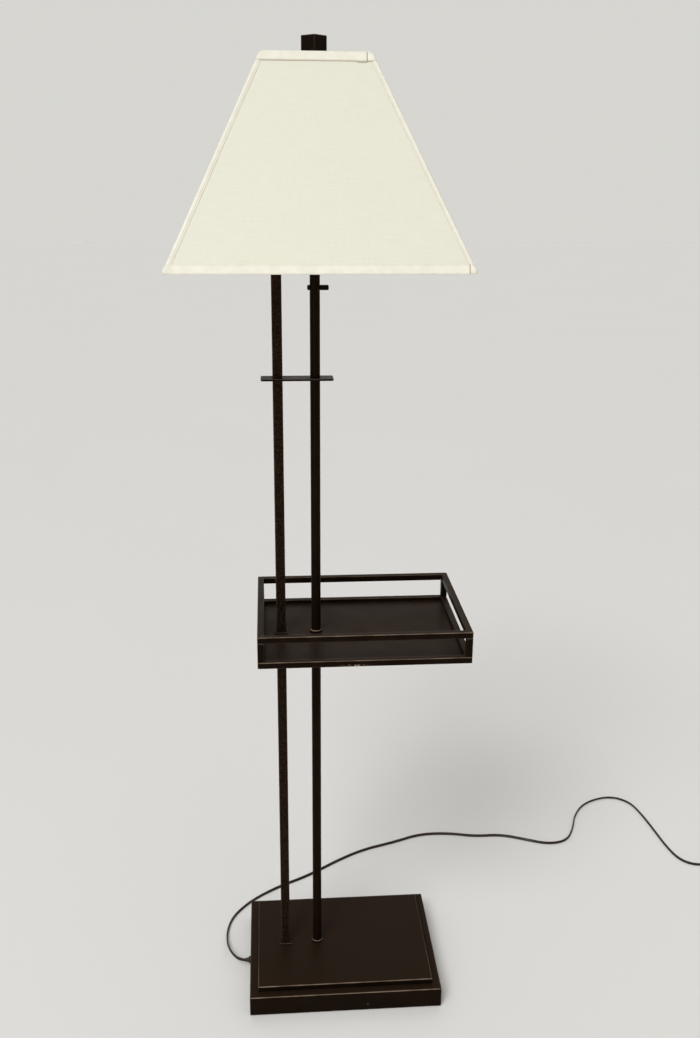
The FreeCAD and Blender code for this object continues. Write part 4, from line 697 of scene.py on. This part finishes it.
# ------------------------------------------
# Tray
# Two frames of 10 mm square tube, mitred, welded and ground flush, held apart
# by four short uprights. A steel sheet is let into the lower frame.
# ------------------------------------------
RAIL = 0.010
RAIL_RADIUS = 0.0009
RAIL_BAND = 0.0014
for level in ("lower", "upper"):
    for side in ("front", "back", "left", "right"):
        node = "tray_%s_rail_%s" % (level, side)
        low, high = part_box(node)
        rail = add_block("gallery_%s_%s" % (level, side), low, high)
        inward = {"front": (0, 1, 0), "back": (0, -1, 0), "left": (1, 0, 0), "right": (-1, 0, 0)}[side]
        pick(rail, "FACE", lambda face: face.normal.dot(Vector(inward)) > 0.9)
        # Both ends are mitred by drawing the inner face in by the rail's own width
        bpy.ops.transform.resize(value=[1 if inward[axis] or axis == 2 else 1 - 2 * RAIL / (high - low)[axis]
                                        for axis in range(3)], center_override=(low + high) / 2)
        bpy.ops.object.mode_set(mode="OBJECT")
        # Front rails' folds are marked fully, the rest less: rubbed wear and a painted highlight
        soften_edges(rail, RAIL_RADIUS, RAIL_BAND, worn_and_highlit=1.0 if side == "front" else 0.75)
        settle(rail, smooth_bronze, "stand", "bronze", node)

low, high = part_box("tray_corner_posts")
uprights = []
for x in (low.x, high.x - RAIL):
    for y in (low.y, high.y - RAIL):
        upright = add_block("gallery_upright", (x, y, low.z), (x + RAIL, y + RAIL, high.z))
        soften_edges(upright, RAIL_RADIUS, RAIL_BAND, worn_and_highlit=0.75)
        uprights.append(upright)
settle(join_pieces("gallery_uprights", uprights), smooth_bronze, "stand", "bronze", "tray_corner_posts")
finish_nodes(smooth_bronze, "tray_floor")

# ------------------------------------------
# Harp and lamp holder
# A brass-plated wire harp on a strip saddle carries the shade. The holder is a
# spun brass cap and shell round a black moulded core and a screw shell.
# ------------------------------------------
# Brass plate, lacquered: warm and clear, slightly dulled in clouds
brass, tree, shader = start_material("lacquered_brass_plate", Metallic=1.0, Roughness=0.28)
place = add_node(tree, "ShaderNodeTexCoord").outputs["Object"]
dulled = add_node(tree, "ShaderNodeTexNoise", {"Scale": 1 / 0.008, "Detail": 4.0, "Vector": place})
golden = add_node(tree, "ShaderNodeMix", {0: dulled, 6: linear("#B08D4B"), 7: linear("#C9A662")},
                  data_type="RGBA")
hazed = add_node(tree, "ShaderNodeMapRange", {0: dulled, 1: 0.3, 2: 0.7, 3: 0.22, 4: 0.4})
tree.links.new(golden.outputs[2], shader.inputs["Base Color"])
tree.links.new(hazed.outputs[0], shader.inputs["Roughness"])
finish_nodes(brass, "harp_saddle", "harp", "harp_sleeve_left", "harp_sleeve_right", "socket_cap",
             "socket_shell", "screw_shell")

# Phenolic moulding: black, hard, faintly mottled
phenolic, tree, shader = start_material("black_phenolic", Roughness=0.45, IOR=1.6)
place = add_node(tree, "ShaderNodeTexCoord").outputs["Object"]
specks = add_node(tree, "ShaderNodeTexNoise", {"Scale": 1 / 0.004, "Detail": 3.0, "Vector": place})
black = add_node(tree, "ShaderNodeMix", {0: specks, 6: linear("#100F0F"), 7: linear("#1D1B1A")},
                 data_type="RGBA")
tree.links.new(black.outputs[2], shader.inputs["Base Color"])
finish_nodes(phenolic, "socket_core", "switch_body")

# Opal glass: white powder coat inside a clear envelope
opal, tree, shader = start_material("opal_glass", Roughness=0.28, IOR=1.5, Transmission_Weight=0.15)
place = add_node(tree, "ShaderNodeTexCoord").outputs["Object"]
powder = add_node(tree, "ShaderNodeTexNoise", {"Scale": 1 / 0.01, "Detail": 3.0, "Vector": place})
milky = add_node(tree, "ShaderNodeMix", {0: powder, 6: linear("#EDECE6"), 7: linear("#F6F5F0")},
                 data_type="RGBA")
tree.links.new(milky.outputs[2], shader.inputs["Base Color"])
finish_nodes(opal, "bulb_glass")

# ------------------------------------------
# Shade
# Off-white linen laminated to a white styrene liner, in four panels that meet
# at mitred corners. Ivory tape is folded over the wire rings at top and bottom,
# and narrower tape covers the corners between them.
# ------------------------------------------
panel_low, panel_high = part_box("shade_panel_front")
shade_bottom = panel_low.z
shade_top = panel_high.z
BOTTOM_HALF = 0.200
TOP_HALF = 0.0725
SLOPE = (BOTTOM_HALF - TOP_HALF) / (shade_top - shade_bottom)
STRETCH = math.sqrt(1 + SLOPE ** 2)
LAMINATE = 0.001
CORNER_TURNS = {"front": 0, "right": 1, "back": 2, "left": 3}


def shade_half(height):
    """Half width of the shade's outer face at a height."""
    return BOTTOM_HALF - (height - shade_bottom) * SLOPE


def on_side(turn, across, out, height):
    """A point on one of the four sides: across it, out from the axis, and up."""
    point = Vector((across, -out, height))
    return Matrix.Rotation(turn * math.pi / 2, 3, "Z") @ point


# Linen cloth: matt, warm white, with slubs running both ways. The 0.5 mm threads are drawn 1.3 mm apart.
linen, tree, shader = start_material("laminated_linen", Roughness=0.9, Specular_IOR_Level=0.2)
THREAD = 0.0013
cloth = add_node(tree, "ShaderNodeTexCoord").outputs["UV"]
threads = []
for scale in ((1 / 0.03, 1 / THREAD, 1), (1 / THREAD, 1 / 0.04, 1)):
    drawn = add_node(tree, "ShaderNodeMapping", {"Vector": cloth, "Scale": scale})
    threads.append(add_node(tree, "ShaderNodeTexNoise", {"Scale": 1.0, "Detail": 3.0, "Vector": drawn}))
weave = add_node(tree, "ShaderNodeMath", {0: threads[0], 1: threads[1]}, operation="ADD")
slubs = add_node(tree, "ShaderNodeMapRange", {0: weave, 1: 0.6, 2: 1.4})
warm_white = add_node(tree, "ShaderNodeMix",
                      {0: slubs, 6: linear("#E2E1CF"), 7: linear("#EAE9D9")}, data_type="RGBA")
tree.links.new(warm_white.outputs[2], shader.inputs["Base Color"])
tree.links.new(add_node(tree, "ShaderNodeBump", {"Height": weave, "Strength": 0.2, "Distance": 0.0003})
               .outputs[0], shader.inputs["Normal"])

PANEL_COLUMNS = 48
PANEL_ROWS = 36
PANEL_SWAY = 0.0009
PANEL_SUNK = 0.00005
# The cloth's sharp corners are snipped off under the edge tape
CUT_CORNER = 0.003
for side, turn in CORNER_TURNS.items():
    skins = []
    for inset in (0.0, LAMINATE * STRETCH):
        rows = []
        for row in range(PANEL_ROWS + 1):
            points = []
            for column in range(PANEL_COLUMNS + 1):
                share = column / PANEL_COLUMNS * 2 - 1
                height = shade_bottom + (shade_top - shade_bottom) * row / PANEL_ROWS
                if abs(share) == 1:
                    height += CUT_CORNER * ((row == 0) - (row == PANEL_ROWS))
                half = shade_half(height) - inset
                spot = on_side(turn, share * half, half, height)
                easy = (1 - share ** 4) * math.sin(math.pi * row / PANEL_ROWS)
                sway = noise.noise(spot * 11) * PANEL_SWAY * easy
                points.append(on_side(turn, share * half, half - PANEL_SUNK + sway, height))
            rows.append(points)
        skins.append(rows)
    outer, inner = skins
    panel = loft("linen_panel_" + side, outer)
    lining = loft("linen_lining_" + side, [list(reversed(row)) for row in inner])
    join_pieces(panel.name, [panel, lining])
    bpy.ops.object.mode_set(mode="EDIT")
    bpy.ops.mesh.select_mode(type="EDGE")
    bpy.ops.mesh.select_all(action="DESELECT")
    bpy.ops.mesh.select_non_manifold()
    bpy.ops.mesh.bridge_edge_loops()
    bpy.ops.mesh.select_all(action="SELECT")
    bpy.ops.mesh.normals_make_consistent(inside=False)
    bpy.ops.object.mode_set(mode="OBJECT")
    bpy.ops.object.shade_smooth_by_angle(angle=math.radians(40))
    settle(panel, linen, "shade", "linen", "shade_panel_" + side)

# Woven cotton tape: ivory, nearly smooth, a little yellower where the glue came through
tape_cloth, tree, shader = start_material("woven_cotton_tape", Roughness=0.85, Specular_IOR_Level=0.2)
cloth = add_node(tree, "ShaderNodeTexCoord")
glue = add_node(tree, "ShaderNodeTexNoise",
                {"Scale": 1 / 0.012, "Detail": 3.0, "Vector": cloth.outputs["Object"]})
RIB = 0.0014
ribs = add_node(tree, "ShaderNodeTexNoise", {
    "Scale": 1.0, "Detail": 1.0,
    "Vector": add_node(tree, "ShaderNodeMapping", {"Vector": cloth.outputs["UV"],
                                                   "Scale": (1 / RIB, 1 / 0.006, 1)})})
cut_edge_and_shadow = add_node(tree, "ShaderNodeAttribute", attribute_name="cut_edge_and_shadow").outputs["Fac"]
soaked = add_node(tree, "ShaderNodeMapRange", {0: glue, 1: 0.35, 2: 0.65})
ivory = add_node(tree, "ShaderNodeMix", {0: soaked, 6: linear("#ECE8D8"), 7: linear("#F1EFE1")},
                 data_type="RGBA")
# Marked edges go brown: the raw cut edge, and a painted shadow in the gap beside it
edge_and_shadow_tint = add_node(tree, "ShaderNodeMix", {0: cut_edge_and_shadow, 6: ivory.outputs[2], 7: linear("#A8967A")},
                 data_type="RGBA")
tree.links.new(edge_and_shadow_tint.outputs[2], shader.inputs["Base Color"])
tree.links.new(add_node(tree, "ShaderNodeBump", {"Height": ribs, "Strength": 0.15,
                                                 "Distance": 0.0002}).outputs[0], shader.inputs["Normal"])

TAPE = 0.00045
LAP_PLY = 0.0007
# Sections in millimetres: out from the panel's face, up from the shade's lower or upper edge, and how dark
# the cut edge and its painted shadow show. The second pair is the low rounded ear where the tape folds
# over itself at a corner.
LOWER_FOLD = [(0.55, 11.8, 0.15), (0.60, 8.5, 0), (0.60, 5.0, 0), (0.70, 2.4, 0), (0.45, 0.6, 0),
              (-0.50, -0.35, 0), (-1.80, -0.7, 0), (-3.15, -0.75, 0), (-4.60, -0.1, 0), (-5.40, 1.3, 0),
              (-5.30, 3.0, 0), (-3.6, 5.0, 0), (-1.85, 7.2, 0), (-1.65, 10.4, 0), (-1.25, 10.9, 0)]
LOWER_EAR = [(0.60, 11.8), (1.50, 9.4), (2.10, 6.2), (1.90, 3.6), (0.90, 1.5), (-0.40, 0.15), (-1.70, -0.45)]
UPPER_FOLD = [(-1.25, -10.9, 0), (-1.65, -10.4, 0), (-1.85, -7.5, 0), (-3.0, -5.1, 0), (-5.2, -3.2, 0),
              (-5.5, -1.75, 0), (-4.8, -0.05, 0), (-3.15, 0.65, 0), (-1.60, 0.65, 0), (-0.40, 0.3, 0),
              (0.40, -0.5, 0), (0.62, -2.0, 0), (0.60, -6.0, 0), (0.62, -9.5, 0), (0.72, -11.8, 0.7)]
UPPER_EAR = [(-1.60, 0.55), (-0.60, -0.3), (0.60, -1.5), (1.30, -3.4), (1.50, -6.0), (1.20, -9.5),
             (0.80, -11.8)]
# A point further out than this, in millimetres, is on the outer ply, and the lap's cut edge is pulled down
OUTER_PLY = -1.7
LAP_PULL = 0.8
CORNER_ROUND = 0.0032
INNER_ROUND = CORNER_ROUND * 0.4
EAR_STEPS = 5
MIDDLE_STEPS = 12
MIDDLE_MARGIN = 0.028
TAPE_WAVER = 0.00015


def folded_band(name, fold, ear_fold, edge, lap_at):
    """Tape folded over a ring and carried round the shade, lapped near the front right corner."""
    # Each stop: where it is measured from, the measure, and how much of the ear, the lap and the dark cut
    # edge with its painted shadow it has
    stops = [("round", 45 + 45 * step / EAR_STEPS, 1, 0, 0) for step in range(EAR_STEPS + 1)]
    stops += [("left", 0.0044, 0.9, 0, 0), ("left", 0.0058, 0.3, 0, 0), ("left", 0.0072, 0, 0, 0)]
    stops += [("middle", -1 + 2 * step / MIDDLE_STEPS, 0, 0, 0) for step in range(MIDDLE_STEPS + 1)]
    stops += [("lap", 0.0150, 0, 0, 0), ("lap", 0.0110, 0, 1, 0), ("lap", 0.0009, 0, 1, 0),
              ("lap", 0.0003, 0, 1, 1), ("lap", -0.0003, 0.4, 0, 1), ("lap", -0.0009, 0.6, 0, 0)]
    stops += [("round", 45 * step / EAR_STEPS, 1, 0, 0) for step in range(EAR_STEPS)]
    first_ear = 0 if fold is LOWER_FOLD else len(fold) - len(ear_fold)
    rows = []
    cut_edge_and_shadow_values = []
    for turn in range(4):
        for place, (anchor, measure, ear, lap, edge_tint_and_shadow) in enumerate(stops):
            opening = place <= EAR_STEPS
            lapped = lap * (turn == 0)
            row = []
            for index, (out, up, cut_and_shadow) in enumerate(fold):
                outer = out > OUTER_PLY
                if 0 <= index - first_ear < len(ear_fold):
                    out += (ear_fold[index - first_ear][0] - out) * ear
                    up += (ear_fold[index - first_ear][1] - up) * ear
                if cut_and_shadow > 0.5:
                    up -= LAP_PULL * lapped
                height = edge + up / 1000
                half = shade_half(height) + out / 1000 + (LAP_PLY * lapped if outer else 0.0)
                radius = CORNER_ROUND if outer else INNER_ROUND
                across = {"left": -half + measure, "middle": measure * (half - MIDDLE_MARGIN),
                          "lap": shade_half(edge) - lap_at - measure}.get(anchor)
                forth = half
                if anchor == "round":
                    swing = math.radians(measure if opening else 90 - measure)
                    across = (half - radius + radius * math.cos(swing)) * (-1 if opening else 1)
                    forth = half - radius + radius * math.sin(swing)
                if anchor == "middle":
                    forth += noise.noise(on_side(turn, across, half, height) * 45) * TAPE_WAVER
                row.append(on_side(turn, across, forth, height))
                cut_edge_and_shadow_values.append(max(cut_and_shadow, edge_tint_and_shadow * (turn == 0) if out > -1 else 0.0))
            rows.append(row)
    band = loft(name, rows, ring=True)
    band.data.attributes.new("cut_edge_and_shadow", "FLOAT", "POINT").data.foreach_set("value", cut_edge_and_shadow_values)
    take_up(band)
    give_wall(band, TAPE)
    bpy.ops.object.shade_smooth_by_angle(angle=math.radians(50))
    return band


lower_band = folded_band("lower_edge_tape", LOWER_FOLD, LOWER_EAR, shade_bottom, lap_at=0.0101)
upper_band = folded_band("upper_edge_tape", UPPER_FOLD, UPPER_EAR, shade_top, lap_at=0.0065)
for band in (lower_band, upper_band):
    settle(band, tape_cloth, "shade", "tape", "shade_edge_tapes")

# Corner tapes run up each corner from one edge tape to the other. Their section in metres: in from the
# corner, out from the panel's face, and how dark it is painted: its cut edge with a painted shadow beside
# it, and a line of painted shade along the step in its middle.
CORNER_SECTION = [(0.0063, 0.00055, 0.45), (0.0054, 0.00050, 0), (0.0038, 0.00055, 0.25),
                  (0.0028, 0.00095, 0), (0.0012, 0.00115, 0)]
CORNER_TIP = 0.0006
CORNER_INSET = 0.0113
CORNER_STRAY = 0.0003
CORNER_ROWS = 30
strips = []
for corner in range(4):
    rows = []
    for row in range(CORNER_ROWS + 1):
        span = shade_top - shade_bottom - 2 * CORNER_INSET
        height = shade_bottom + CORNER_INSET + span * row / CORNER_ROWS
        stray = noise.noise(Vector((corner * 5.0, 0, height * 30))) * CORNER_STRAY
        half = shade_half(height)
        left_half = [on_side(corner, half - inward - stray, half + out, height)
                     for inward, out, edge_tint_and_shadow in CORNER_SECTION]
        right_half = [on_side(corner + 1, -(half - inward + stray), half + out, height)
                      for inward, out, edge_tint_and_shadow in reversed(CORNER_SECTION)]
        tip = on_side(corner, half + CORNER_TIP, half + CORNER_TIP, height)
        rows.append(left_half + [tip] + right_half)
    strip = loft("corner_tape", rows)
    edge_tints_and_shadows = [edge_tint_and_shadow for inward, out, edge_tint_and_shadow in CORNER_SECTION]
    strip.data.attributes.new("cut_edge_and_shadow", "FLOAT", "POINT").data.foreach_set(
        "value", (edge_tints_and_shadows + [0.0] + edge_tints_and_shadows[::-1]) * len(rows))
    if strip.data.polygons[0].normal.dot(strip.data.polygons[0].center * Vector((1, 1, 0))) < 0:
        strip.data.flip_normals()
    strips.append(strip)
corner_tapes = join_pieces("corner_tapes", strips)
give_wall(corner_tapes, TAPE)
bpy.ops.object.shade_smooth_by_angle(angle=math.radians(50))
settle(corner_tapes, tape_cloth, "shade", "tape", "shade_corner_tapes")

# White enamel on the shade's wires: glossy, slightly uneven
enamel, tree, shader = start_material("white_wire_enamel", Roughness=0.3)
place = add_node(tree, "ShaderNodeTexCoord").outputs["Object"]
runs = add_node(tree, "ShaderNodeTexNoise", {"Scale": 1 / 0.01, "Detail": 2.0, "Vector": place})
white = add_node(tree, "ShaderNodeMix", {0: runs, 6: linear("#E2E1DC"), 7: linear("#EEEDE8")},
                 data_type="RGBA")
tree.links.new(white.outputs[2], shader.inputs["Base Color"])
finish_nodes(enamel, "shade_bottom_ring", "shade_spider")

# ------------------------------------------
# Finial
# A square steel block turned corner-on, tapped from below and screwed down on
# the harp's stud by its short round neck.
# ------------------------------------------
low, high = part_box("finial")
BLOCK_SIDE = 0.0254
NECK = 0.0025
NECK_RADIUS = 0.007
NECK_SUNK = 0.001
half = BLOCK_SIDE / 2
finial = add_block("finial_block", (-half, -half, low.z + NECK), (half, half, high.z))
bpy.ops.transform.rotate(value=math.pi / 4, orient_axis="Z", center_override=(0, 0, 0))
bpy.ops.object.transform_apply()
soften_edges(finial, radius=0.0009, band=0.0016)
bpy.ops.object.select_all(action="DESELECT")
bpy.ops.mesh.primitive_cylinder_add(vertices=48, radius=NECK_RADIUS, depth=NECK + NECK_SUNK,
                                    location=(0, 0, low.z + (NECK + NECK_SUNK) / 2))
neck = bpy.context.object
bpy.ops.object.transform_apply()
soften_edges(neck, radius=0.0003, band=0.0004)
settle(join_pieces(finial.name, [finial, neck]), smooth_bronze, "finial", "bronze", "finial")
